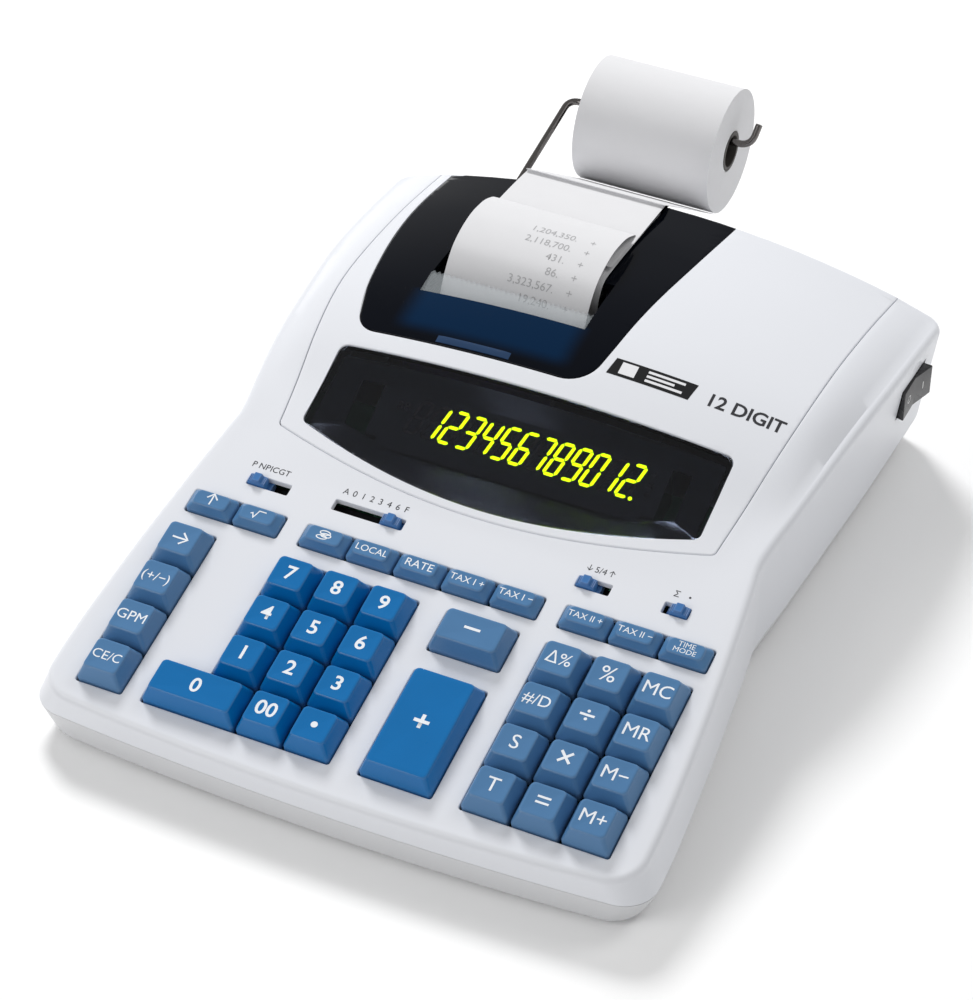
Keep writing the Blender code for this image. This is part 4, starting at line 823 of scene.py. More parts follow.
class CALCULATOR_OT_case(Operator):
    """Builds the upper case, the top panel and the lower case"""
    bl_idname = "calculator.case"
    bl_label = "Case"

    def execute(self, context):
        s = context.scene.calc_case
        white = finish("shell_white", s.shell, 0.34, grain=s.grain, grain_size=0.5, mottle=0.012, mottle_size=60)
        tray_white = finish("lower_white", s.tray, 0.42, grain=s.grain * 1.5, grain_size=0.5, mottle=0.015,
                            mottle_size=60)
        outer = case_block("outer", 0, SEAM_HEIGHT)
        inner = case_block("inner", WALL, SEAM_HEIGHT - WALL)
        gap, r = GAP / 2, s.seam_round
        panel_hole = lid_block("panel_hole", panel_outline, gap, r, PANEL_DROP, False)
        panel_keep = lid_block("panel_keep", panel_outline, -gap, r, PANEL_DROP, True)
        cover_hole = lid_block("cover_hole", cover_outline, gap, r, COVER_DROP, False)
        window_hole = surface_cutter("window_hole", window_outline, gap, r)
        holes = key_openings(s.opening_round)
        pivot, _ = rocker_frame()
        y, z = ROCKER_PLACE
        half, high, back = 11.6 * MM, 6.9 * MM, 4.5 * MM
        shelves = joined("shelves", [
            box("shelf", (pivot.x - back - 2 * MM, y - back, low), (pivot.x + 3.8 * MM, y + back, low + 2 * MM))
            for low in (z + high, z - high - 2 * MM)])
        rocker_hole = box("rocker_hole", (pivot.x - back, y - half, z - high), (pivot.x + 0.01, y + half, z + high))
        pins = prism("pins", disc(1.35 * MM, 24, (pivot.x, y)), z - high - 4 * MM, z + high + 4 * MM)
        wire_hole = mesh_object("wire_hole", *loft([[(WIRE_X + a, b_y, WIRE_Z + b) for a, b in disc(1.7 * MM, 24)]
                                                    for b_y in (REAR_Y - 5 * MM, REAR_Y + 2 * MM)]))
        mouth = rectangle(19 * MM, 9 * MM, 4 * MM, 6)
        inlet = mesh_object("inlet", *loft([[(60 * MM + a, b_y, 24 * MM + b) for a, b in mouth]
                                            for b_y in (REAR_Y - 8 * MM, REAR_Y + 8 * MM)]))

        upper = outer.copy()
        upper.data = outer.data.copy()
        upper.name = upper.data.name = "upper_shell"
        context.scene.collection.objects.link(upper)
        for cutter, operation in ((panel_hole, "DIFFERENCE"), (inner, "DIFFERENCE"), (holes, "DIFFERENCE"),
                                  (wire_hole, "DIFFERENCE"), (inlet, "DIFFERENCE"), (shelves, "UNION"),
                                  (rocker_hole, "DIFFERENCE"), (pins, "DIFFERENCE")):
            boolean(upper, cutter, operation)
        baked(upper)
        upper.data.materials.clear()
        upper.data.materials.append(white)
        settle(upper, node="upper_case")

        panel = outer.copy()
        panel.data = outer.data.copy()
        panel.name = panel.data.name = "crowned_panel"
        context.scene.collection.objects.link(panel)
        for cutter, operation in ((panel_keep, "INTERSECT"), (inner, "DIFFERENCE"), (window_hole, "DIFFERENCE"),
                                  (cover_hole, "DIFFERENCE")):
            boolean(panel, cutter, operation)
        baked(panel)
        panel.data.materials.clear()
        panel.data.materials.append(white)
        settle(panel, node="top_panel")

        window_keep = surface_cutter("window_keep", window_outline, -gap, r, keep=True)
        cover_keep = lid_block("cover_keep", cover_outline, -gap, r, COVER_DROP, True)
        left, right, front, rear = SLOT
        slot = box("slot", (left, front, 25 * MM), (right, rear, 110 * MM))
        for name, keep, cut in (("window_pane", window_keep, ()), ("smoked_cover", cover_keep, (slot,))):
            pane = outer.copy()
            pane.data = outer.data.copy()
            pane.name = pane.data.name = name
            context.scene.collection.objects.link(pane)
            boolean(pane, keep, "INTERSECT")
            boolean(pane, inner, "DIFFERENCE")
            for cutter in cut:
                boolean(pane, cutter, "DIFFERENCE")
            baked(pane)
            pane.data.materials.clear()
        drop(outer, inner, panel_hole, panel_keep, cover_hole, window_hole, holes, shelves, rocker_hole, pins,
             wire_hole, inlet, window_keep, cover_keep, slot)

        outline = flared(case_outline())
        levels = ((2.0, 1.0), (2.25, 0.92), (2.8, 0.84), (3.6, 0.77), (6, 0.55), (9, 0.3), (12.2, 0.04),
                  (12.55, 0.02), (12.7, 0.06))
        rings = [[(x, y, z * MM) for x, y in tapered(outline, g)] for z, g in levels]
        inside = [[(x, y, z * MM) for x, y in grown(tapered(outline, g), -WALL)]
                  for z, g in ((12.7, 0.06), (9, 0.3), (4.4, 0.74))]
        tray = mesh_object("tray", *loft(rings + inside))
        tray.data.materials.append(tray_white)
        settle(tray, node="lower_case", angle=50)
        return {"FINISHED"}


def keycap(node, paint, s, legend_paint):
    """A dished keycap with a soft edge on a skirt and stem, and the legend on its top."""
    low, high = deck_box(node)
    middle = (low + high) / 2
    width, depth, top = high.x - low.x, high.y - low.y, high.z
    inset_x = s.inset
    inset_y = s.inset * min(1.0, top / (6.5 * MM) + 0.1)
    soft = min(s.soft, top * 0.2)
    rings = [[(x, y, w) for x, y in rectangle(5 * MM, 5 * MM, 0.6 * MM, 5)] for w in (low.z, -3 * MM)]

    def ring(share_x, share_y, radius, w):
        rings.append([(x, y, w) for x, y in rectangle(width - 2 * share_x, depth - 2 * share_y, radius, 5)])

    ring(0.15 * MM, 0.15 * MM, 1.2 * MM, -3 * MM)
    ring(0, 0, 1.2 * MM, -2.85 * MM)
    ring(0, 0, 1.2 * MM, 0.55 * MM)
    ring(0.06 * MM, 0.06 * MM, 1.25 * MM, 0.85 * MM)
    for share in (0.1, 0.3, 0.5, 0.7, 0.88, 1.0):
        draw = share ** 0.92
        ring((inset_x - soft * 0.25) * draw, (inset_y - soft * 0.25) * draw, (1.3 + 0.4 * share) * MM,
             0.9 * MM + (top - soft - 0.9 * MM) * share)
    for turn in spread(0.35, math.pi / 2, 5):
        ring(inset_x - soft * 0.25 + soft * (1 - math.cos(turn)), inset_y - soft * 0.25 + soft * (1 - math.cos(turn)),
             1.7 * MM, top - soft * (1 - math.sin(turn)))
    half_x, half_y = width / 2 - inset_x - soft * 0.75, depth / 2 - inset_y - soft * 0.75
    dish = s.dish * min(1.0, top / (6.5 * MM))

    def top_at(x, y):
        share = min(max(abs(x) / half_x, abs(y) / half_y), 1.0)
        return top - dish * (1 - share ** 2)

    rim = rectangle(2 * half_x, 2 * half_y, 1.2 * MM, 5)
    for share in (0.92, 0.8, 0.65, 0.5, 0.35, 0.2, 0.06):
        rings.append([(x * share, y * share, top - dish * (1 - share ** 2)) for x, y in rim])
    matrix = DECK @ Matrix.Translation((middle.x, middle.y, 0))
    cap = mesh_object(node + "_cap", *loft(rings), matrix=matrix, paint=paint)
    settle(cap, body=node, node=node, angle=40)
    if LEGENDS[node]:
        size = LEGEND_SIZES.get(node, 0.0) * MM or s.legend_size
        bold = 0.018 if node in BRIGHT_KEYS else 0.0
        mark = words(node + "_legend", LEGENDS[node], size, matrix, legend_paint, bold,
                     wrap=lambda p: Vector((p.x, p.y, top_at(p.x, p.y) + 0.04 * MM)))
        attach(mark, node)
    return matrix, top_at


class CALCULATOR_OT_keys(Operator):
    """Builds the forty keycaps with their legends"""
    bl_idname = "calculator.keys"
    bl_label = "Keys"

    def execute(self, context):
        s = context.scene.calc_keys
        bright = finish("key_bright_blue", s.bright, 0.3, grain=0.004, grain_size=0.5, mottle=0.05, mottle_size=12,
                        wear=0.3)
        grey = finish("key_grey_blue", s.grey, 0.33, grain=0.004, grain_size=0.5, mottle=0.05, mottle_size=12,
                      wear=0.3)
        white = finish("legend_white", s.legend, 0.5, mottle=0.04, mottle_size=2.0)
        for node in LEGENDS:
            matrix, top_at = keycap(node, bright if node in BRIGHT_KEYS else grey, s, white)
            if node in DRAWN_SIGNS:
                strokes = [stroke_mesh([(x * MM, y * MM) for x, y in line], 0.42 * MM, closed, top_at, matrix)
                           for line, closed in DRAWN_SIGNS[node]]
                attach(joined(node + "_legend", strokes, white), node)
        return {"FINISHED"}


class CALCULATOR_OT_switches(Operator):
    """Builds the slide knobs, the power rocker and the marks printed beside them"""
    bl_idname = "calculator.switches"
    bl_label = "Switches"

    def execute(self, context):
        s = context.scene.calc_keys
        blue = finish("knob_blue", s.knob, 0.32, grain=0.004, grain_size=0.4, mottle=0.04, mottle_size=6, wear=0.3)
        ink = finish("print_grey", (0.05, 0.05, 0.055), 0.6, mottle=0.1, mottle_size=1.5)
        dark = finish("switch_black", (0.012, 0.012, 0.014), 0.5, grain=0.01, grain_size=0.8, mottle=0.1)
        black = finish("black_plastic", (0.012, 0.012, 0.014), 0.28, grain=0.006, grain_size=0.6, mottle=0.15,
                       mottle_size=8, wear=0.15)
        white = finish("rocker_white", (0.8, 0.8, 0.8), 0.5, mottle=0.05, mottle_size=1.0)
        ridges = line_tree()
        for node, (start, end, v, marks) in SLOTS.items():
            low, high = deck_box(node)
            x = (low.x + high.x) / 2
            matrix = DECK @ Matrix.Translation((x, v * MM, 0))
            sections = ((9.6, 7.1, -5.7, 0.3), (9.6, 7.1, -2.75, 0.3), (6.6, 4.1, -2.7, 0.35), (6.6, 4.1, 0.5, 0.35),
                        (6.4, 3.95, 0.75, 0.4), (3.6, 3.8, 1.2, 0.4), (3.0, 3.7, 2.1, 0.4), (2.85, 3.6, 2.4, 0.4),
                        (2.5, 3.3, 2.55, 0.35), (1.2, 2.0, 2.5, 0.3))
            rings = [[(a, b, w * MM) for a, b in rectangle(l * MM, d * MM, r * MM)] for l, d, w, r in sections]
            knob = mesh_object(node + "_knob", *loft(rings), matrix=matrix, paint=blue)
            settle(knob, body=node, node=node, angle=38)
            rib = prism(node + "_ribs", rectangle(0.28 * MM, 3.2 * MM, 0.1 * MM, 2, (-3.0 * MM, 0)), 0.7 * MM, 1.15 * MM)
            rib.data.transform(Matrix.Translation((0, CENTRE_Y, 0)))
            grow_nodes(rib, ridges, {"Count": 3, "Spacing": (0.55 * MM, 0, 0), "Finish": blue})
            far = rib.data.copy()
            far.transform(Matrix.Translation((4.9 * MM, 0, 0)))
            work = bmesh.new()
            work.from_mesh(rib.data)
            work.from_mesh(far)
            work.to_mesh(rib.data)
            work.free()
            rib.data.transform(matrix)
            settle(rib, body=node)
            floor = box(node + "_well", (start * MM - 3 * MM, v * MM - 4.5 * MM, -8.6 * MM),
                        (end * MM + 3 * MM, v * MM + 4.5 * MM, -7.0 * MM), matrix=DECK, paint=dark)
            settle(floor)
            wide = (end - start) * 0.98
            for i, mark in enumerate(marks):
                across = ((start + end - wide) / 2 + wide * (i + 0.5) / len(marks)) * MM
                if node == "print_mode_slider":
                    across -= 3.0 * MM
                up = (v + 6.4) * MM * math.cos(DECK_TILT)
                label = words(f"{node}_mark_{i}", mark, 3.4 * MM, Matrix.Translation((0, -CENTRE_Y, 0)), ink,
                              wrap=lambda p, x=across, y=up: Vector((p.x + x, p.y + y,
                                                                     top_height(p.x + x, p.y + y) + 0.06 * MM)))
                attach(label, "case")

        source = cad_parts["power_rocker"]
        rocker = bpy.data.objects.new("rocker", source.data.copy())
        context.scene.collection.objects.link(rocker)
        work = bmesh.new()
        work.from_mesh(rocker.data)
        bmesh.ops.remove_doubles(work, verts=work.verts, dist=2e-6)
        bmesh.ops.dissolve_limit(work, angle_limit=0.02, verts=work.verts, edges=work.edges)
        work.to_mesh(rocker.data)
        work.free()
        soft = rocker.modifiers.new("soft_edges", "BEVEL")
        soft.width, soft.segments, soft.limit_method, soft.angle_limit = 0.4 * MM, 3, "ANGLE", 0.6
        baked(rocker)
        rocker.data.materials.clear()
        rocker.data.materials.append(black)
        settle(rocker, body="power_rocker", node="power_rocker")
        pivot, face = rocker_frame()
        lean = math.radians(9.0)
        for text, side in (("O", -1), ("I", 1)):
            angle = -lean - side * math.atan2(1.64, 10.37)
            normal = Vector((math.cos(angle), math.sin(angle), 0))
            middle = Vector((5.82 * MM, side * 5.2 * MM, 0))
            middle.rotate(Matrix.Rotation(-lean, 3, "Z"))
            place = pivot + middle + normal * 0.06 * MM
            matrix = Matrix.Translation(place) @ Matrix.Rotation(angle, 4, "Z") @ face
            mark = words("rocker_mark_" + text, text, 4.6 * MM, matrix, white, 0.0)
            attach(mark, "power_rocker")
        return {"FINISHED"}


SEGMENTS = {"0": "abcdef", "1": "bc", "2": "abged", "3": "abgcd", "4": "fgbc", "5": "afgcd", "6": "afgedc",
            "7": "abc", "8": "abcdefg", "9": "abfgcd", ".": "."}


def digit_mesh(text, s, lift):
    """Outlined segments of a row of slanted digits, as flat faces on the display tube."""
    w, h, t, gap = s.width, s.height, s.stroke, 0.16 * MM
    half = t / 2
    verts, faces = [], []

    def bar(x0, y0, x1, y1, left):
        along = Vector((x1 - x0, y1 - y0)).normalized()
        side = Vector((-along.y, along.x)) * half
        a, b = Vector((x0, y0)) + along * gap, Vector((x1, y1)) - along * gap
        points = [a, a + along * half - side, b - along * half - side, b, b - along * half + side,
                  a + along * half + side]
        faces.append(tuple(range(len(verts), len(verts) + 6)))
        verts.extend((left + p.x + p.y * s.slant, p.y, lift) for p in points)

    lines = {"a": (0, h, w, h), "b": (w, h / 2, w, h), "c": (w, 0, w, h / 2), "d": (0, 0, w, 0), "e": (0, 0, 0, h / 2),
             "f": (0, h / 2, 0, h), "g": (0, h / 2, w, h / 2)}
    place = 0
    for figure in text:
        if figure == ".":
            x = (place - 1) * s.pitch + w + 1.5 * MM
            faces.append(tuple(range(len(verts), len(verts) + 12)))
            verts.extend((x + a, b, lift) for a, b in disc(0.75 * MM, 12))
            continue
        for name in SEGMENTS[figure]:
            bar(*lines[name], place * s.pitch)
        place += 1
    return verts, faces


class CALCULATOR_OT_display(Operator):
    """Builds the display: its window's finish, its housing, and the lit digits, unlit segments and unlit marks on the
    tube face
    """
    bl_idname = "calculator.display"
    bl_label = "Display"

    def execute(self, context):
        s = context.scene.calc_display
        smoke = finish("window_smoke", s.smoke, 0.015, mottle=0.02, mottle_size=30, transmission=1.0)
        smoke.node_tree.nodes["Principled BSDF"].inputs["IOR"].default_value = 1.3
        pane = bpy.data.objects["window_pane"]
        pane.data.materials.append(smoke)
        settle(pane, node="display_window")
        housing_paint = finish("housing_black", (0.002, 0.0025, 0.005), 0.12, mottle=0.2,
                               mottle_size=10)
        tube = Matrix.Translation(TUBE_PLACE) @ Matrix.Rotation(TUBE_TILT, 4, "X")
        top = [(x, y, top_height(x, y) - WALL - 0.5 * MM) for x, y in window_outline(-2.2 * MM)]
        rings = [top]
        for share in (0.25, 0.5, 0.75, 1.0):
            ring = []
            for x, y, z in top:
                inner = tube.inverted() @ Vector((x * 0.86 + 0.6 * MM, y - CENTRE_Y, z))
                inner.y = min(max(inner.y * 0.6, -11.6 * MM), 12.4 * MM)
                goal = tube @ Vector((inner.x, inner.y, 1.6 * MM))
                ring.append(tuple(Vector((x, y, z)).lerp(Vector((goal.x, goal.y + CENTRE_Y, goal.z)), share)))
            rings.append(ring)
        verts, faces = loft(rings, closed_ends=False)
        housing = mesh_object("display_housing", verts, faces, paint=housing_paint)
        wall = housing.modifiers.new("wall", "SOLIDIFY")
        wall.thickness, wall.offset = 0.8 * MM, 1.0
        baked(housing)
        settle(housing, angle=50)

        face = tube @ Matrix.Translation((0, 0, 2.5 * MM))
        left = -31.2 * MM - s.width
        origin = face @ Matrix.Translation((left, -4.0 * MM, 0))
        lit = glowing("phosphor_green", s.glow, s.strength)
        verts, faces = digit_mesh(s.readout, s, 0.12 * MM)
        figures = mesh_object("lit_digits", verts, faces, matrix=origin, paint=lit)
        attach(figures, "case")
        unlit = finish("unlit_segment", (0.03, 0.018, 0.014), 0.35, mottle=0.1, mottle_size=2)
        verts, faces = digit_mesh("8", s, 0.05 * MM)
        ghost = mesh_object("unlit_digits", verts, faces, matrix=Matrix.Identity(4))
        grow_nodes(ghost, line_tree(), {"Count": 13, "Spacing": (s.pitch, 0, 0), "Finish": unlit})
        ghost.data.transform(face @ Matrix.Translation((left - s.pitch, -4.0 * MM, 0)))
        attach(ghost, "case")
        for name, text, x, y in (("unlit_marks_left", "88", -45.5, 5.0), ("unlit_marks_right", "+\n×\n*", 50.0, 2.5)):
            mark = words(name, text, 5.0 * MM, face @ Matrix.Translation((x * MM, y * MM, 0.05 * MM)), unlit)
            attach(mark, "case")
        return {"FINISHED"}


class CALCULATOR_OT_printer(Operator):
    """Builds the smoked printer cover with its finger tab, the clear tear bar and the lining of the slot"""
    bl_idname = "calculator.printer"
    bl_label = "Printer"

    def execute(self, context):
        s = context.scene.calc_printer
        # The cover's finish paints a blue glow in front of the slot, standing for the paper's light through the
        # plastic.
        smoked = cover_finish("cover_smoke", s.cover, s.cover_painted_glow)
        cover = bpy.data.objects["smoked_cover"]
        cover.data.materials.append(smoked)
        settle(cover, node="printer_cover")
        tab_paint = finish("tab_blue", (0.006, 0.035, 0.1), 0.15, mottle=0.08, mottle_size=6, coat=0.4)
        rings = []
        for i, x in enumerate(spread(-43 * MM, -14.5 * MM, 25)):
            high = 0.45 * MM * min(1.0, i / 2, (24 - i) / 2)
            ends = [(y, top_height(x, y)) for y in spread(165.4 * MM, 168.2 * MM, 6)]
            lower = [(x, y, z - 0.4 * MM) for y, z in ends]
            upper = [(x, y, z + 0.02 * MM + high * math.sin(math.pi * (0.15 + 0.7 * k / 5)))
                     for k, (y, z) in enumerate(ends)]
            rings.append(lower + upper[::-1])
        tab = mesh_object("cover_finger_tab", *loft(rings), paint=tab_paint)
        settle(tab)

        clear = finish("clear_plastic", (0.85, 0.92, 0.96), 0.05, mottle=0.02, mottle_size=10, specular=0.6)
        clear.node_tree.nodes["Principled BSDF"].inputs["Alpha"].default_value = 0.13
        front, tips = Vector((0, 187.5 * MM, 73.0 * MM)), Vector((0, 198.2 * MM, 75.1 * MM))
        along = (tips - front).normalized()
        length, thick, half = (tips - front).length, 1.2 * MM, 32.4 * MM
        count = round(2 * half / s.tooth_pitch)
        p, root = 2 * half / count, length - s.tooth_depth
        outline = [(0, 0), (p, 0), (p, root), (p / 2, length), (0, root)]
        verts = [(x, y, z) for z in (0, thick) for x, y in outline]
        faces = [(4, 3, 2, 1, 0), (5, 6, 7, 8, 9), (0, 1, 6, 5), (2, 3, 8, 7), (3, 4, 9, 8)]
        bar = bpy.data.objects.new("tear_teeth", bpy.data.meshes.new("tear_teeth"))
        bar.data.from_pydata(verts, [], faces)
        context.scene.collection.objects.link(bar)
        grow_nodes(bar, line_tree(), {"Count": count, "Spacing": (p, 0, 0), "Finish": clear})
        work = bmesh.new()
        work.from_mesh(bar.data)
        bmesh.ops.holes_fill(work, edges=[e for e in work.edges if e.is_boundary], sides=0)
        bmesh.ops.recalc_face_normals(work, faces=work.faces)
        work.to_mesh(bar.data)
        work.free()
        across = Vector((0, -along.z, along.y))
        matrix = Matrix((Vector((1, 0, 0)), along, across)).transposed().to_4x4()
        bar.data.transform(Matrix.Translation(((PAPER_LEFT + PAPER_RIGHT) / 2 - half, front.y - CENTRE_Y, front.z))
                           @ matrix)
        settle(bar, node="tear_bar", angle=20)

        black = finish("slot_black", (0.004, 0.004, 0.006), 0.25, grain=0.01, grain_size=1.0, mottle=0.2)
        left, right, near, far = SLOT
        walls = []
        for low, high in (((left - 1.2 * MM, near - 1.2 * MM), (right + 1.2 * MM, near - 0.1 * MM)),
                          ((left - 1.2 * MM, near), (left - 0.1 * MM, far)),
                          ((right + 0.1 * MM, near), (right + 1.2 * MM, far)),
                          ((left - 1.2 * MM, far + 0.1 * MM), (right + 1.2 * MM, far + 1.2 * MM))):
            walls.append(box("wall", (*low, 66 * MM), (*high, 71.2 * MM)))
        lining = joined("slot_lining", walls, black)
        settle(lining)
        return {"FINISHED"}


def roll_and_web_paths():
    """The paper strip's path in millimetres (y, z): off the roll, over the rear edge and under the feed roller,
    then up past the tear bar and over in a curl. The second list is the part that shows at the front."""
    crest = Vector((275.3, 74.0))
    axis = Vector(ROLL_AXIS) / MM
    to_roll = axis - crest
    reach = 25.0 + 0.125 + 0.3
    angle = math.atan2(to_roll.y, to_roll.x) - math.asin(reach / to_roll.length) - math.pi / 2
    leave = (axis.x + reach * math.cos(angle), axis.y + reach * math.sin(angle))
    rear = [leave, tuple(crest), (271.6, 75.2), (255.8, 77.2), (240, 78.6), (228, 79.5), (219, 79.8), (214.4, 79.4),
            (211, 77.0), (208.4, 71.5)]
    lap = 7.5 + 0.125 + 0.3
    turn = [math.radians(5 - 212 * i / 20) for i in range(21)]
    under = [(201 + lap * math.cos(a), 61 + lap * math.sin(a)) for a in turn]
    shown = [(196.7, 69.8), (199.6, 75.0), (203.2, 79.6), (207.6, 83.2), (214.4, 85.8), (222, 87.0), (229, 86.5),
             (234.4, 85.4), (240.2, 82.9), (242.6, 81.4), (241.6, 80.7), (237, 80.5), (229, 80.9), (220.4, 81.5)]
    return rear + under, shown


class CALCULATOR_OT_paper(Operator):
    """Builds the wound paper roll with its core, the strip through the printer and the printed figures"""
    bl_idname = "calculator.paper"
    bl_label = "Paper"

    def execute(self, context):
        s = context.scene.calc_paper
        paper = paper_finish("paper_white", s.paper)
        inner, outer = 8.1 * MM, 25.0 * MM
        pitch = (outer - inner) / s.turns
        width = PAPER_RIGHT - PAPER_LEFT
        thick = pitch * 0.94
        roll = bpy.data.objects.new("wound_paper", bpy.data.meshes.new("wound_paper"))
        roll.data.from_pydata([(-thick / 2, -width / 2, 0), (thick / 2, -width / 2, 0), (thick / 2, width / 2, 0),
                               (-thick / 2, width / 2, 0)], [(0, 1), (1, 2), (2, 3), (3, 0)], [])
        context.scene.collection.objects.link(roll)
        grow_nodes(roll, wound_tree(), {"Turns": s.turns, "Inner Radius": inner + thick / 2,
                                        "Outer Radius": outer - thick / 2, "Steps per Turn": 96, "Finish": paper})
        roll.data.transform(Matrix.Rotation(math.radians(90), 4, "Y"))
        middle = Vector(((PAPER_LEFT + PAPER_RIGHT) / 2, ROLL_AXIS[0] - CENTRE_Y, ROLL_AXIS[1]))
        roll.data.transform(Matrix.Translation(middle) @ Matrix.Rotation(math.radians(-40), 4, "X"))
        settle(roll, body="paper_roll", node="paper_roll", angle=40)
        card = finish("core_card", (0.05, 0.045, 0.04), 0.6, grain=0.02, grain_size=0.8, mottle=0.15, mottle_size=4)
        stations = ((-width / 2, 6.3), (-width / 2 - 0.2 * MM, 6.5), (-width / 2 - 0.2 * MM, 7.8), (-width / 2, 8.0),
                    (width / 2, 8.0), (width / 2 + 0.2 * MM, 7.8), (width / 2 + 0.2 * MM, 6.5), (width / 2, 6.3))
        rings = [[(x, a, b) for a, b in disc(r * MM, 64)] for x, r in stations]
        core = mesh_object("roll_core", *loft(rings + rings[:1], closed_ends=False),
                           matrix=Matrix.Translation(middle), paint=card)
        settle(core, body="paper_roll", angle=30)

        behind, shown = roll_and_web_paths()
        path = smooth_path(behind + shown, 4)
        offsets = []
        for i, here in enumerate(path):
            along = (path[min(i + 1, len(path) - 1)] - path[max(i - 1, 0)]).normalized()
            offsets.append(Vector((-along.y, along.x)) * 0.1)
        outline = [p + o for p, o in zip(path, offsets)] + [p - o for p, o in reversed(list(zip(path, offsets)))]
        rings = [[(x, p.x * MM, p.y * MM) for p in outline] for x in spread(PAPER_LEFT, PAPER_RIGHT, 7)]
        web = mesh_object("paper_strip", *loft(rings), paint=paper)
        settle(web, node="paper_web", angle=60)

        front = smooth_path(shown, 10)
        lengths = [0.0]
        for a, b in zip(front, front[1:]):
            lengths.append(lengths[-1] + (b - a).length)

        def bend(point):
            """A point x across and s along the strip, in metres, moved onto the strip's printed face."""
            along = point.y / MM
            i = min(max(bisect_right(lengths, along) - 1, 0), len(front) - 2)
            a, b = front[i], front[i + 1]
            here = a.lerp(b, (along - lengths[i]) / (lengths[i + 1] - lengths[i]))
            way = (b - a).normalized()
            here = here + Vector((-way.y, way.x)) * 0.16
            return Vector((point.x, here.x * MM - CENTRE_Y, here.y * MM))

        ink = finish("print_ink", s.ink, 0.8, mottle=0.25, mottle_size=0.5)
        for i, text in enumerate(("19,240.", "3,323,567.", "86.", "431.", "2,118,700.", "1,204,350.")):
            along = 4.6 * MM + i * s.line_pitch
            for part, x, align in ((text, -13.5 * MM, "RIGHT"), ("+", -7.5 * MM, "CENTER")):
                lift = Vector((x, along, 0))
                line = words(f"print_{i}_{'sum' if part == text else 'sign'}", part, s.figure_size,
                             Matrix.Identity(4), ink, -0.004, align, wrap=lambda p, lift=lift: bend(p + lift))
                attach(line, "case")
        return {"FINISHED"}


class CALCULATOR_OT_holder(Operator):
    """Builds the bent wire that carries the paper roll"""
    bl_idname = "calculator.holder"
    bl_label = "Roll Holder"

    def execute(self, context):
        steel = finish("wire_steel", (0.16, 0.15, 0.145), 0.14, metallic=1.0, mottle=0.1, mottle_size=6, grain=0.004,
                       grain_size=1.5)
        corners = [Vector(p) * MM for p in ((-67.7, 268, 53.5), (-67.7, 286, 53.5), (-67.7, 339.5, 64.2),
                                            (9.3, 339.5, 64.2), (10.8, 343.5, 72.2))]
        path = [corners[0]]
        for before, here, after in zip(corners, corners[1:], corners[2:]):
            radius = min(5 * MM, (after - here).length * 0.6)
            a, b = here + (before - here).normalized() * 5 * MM, here + (after - here).normalized() * radius
            for t in spread(0, 1, 12):
                path.append(a * (1 - t) ** 2 + here * 2 * t * (1 - t) + b * t * t)
        path.append(corners[-1])
        rings, across = [], None
        for i, here in enumerate(path):
            along = (path[min(i + 1, len(path) - 1)] - path[max(i - 1, 0)]).normalized()
            across = across - along * across.dot(along) if across else Vector((0, 0, 1)).cross(along)
            across.normalize()
            up = along.cross(across)
            radii = ((0.6, -0.25), (0.9, -0.1), (1.0, 0.0)) if i == 0 else ((1.0, 0.0),)
            if i == len(path) - 1:
                radii = ((1.0, 0.0), (0.85, 0.12), (0.55, 0.22))
            for size, shift in radii:
                rings.append([tuple(here + along * shift * MM + (across * a + up * b) * size)
                              for a, b in disc(1.4 * MM, 24)])
        wire = mesh_object("bent_wire", *loft(rings), paint=steel)
        settle(wire, node="roll_holder")
        return {"FINISHED"}


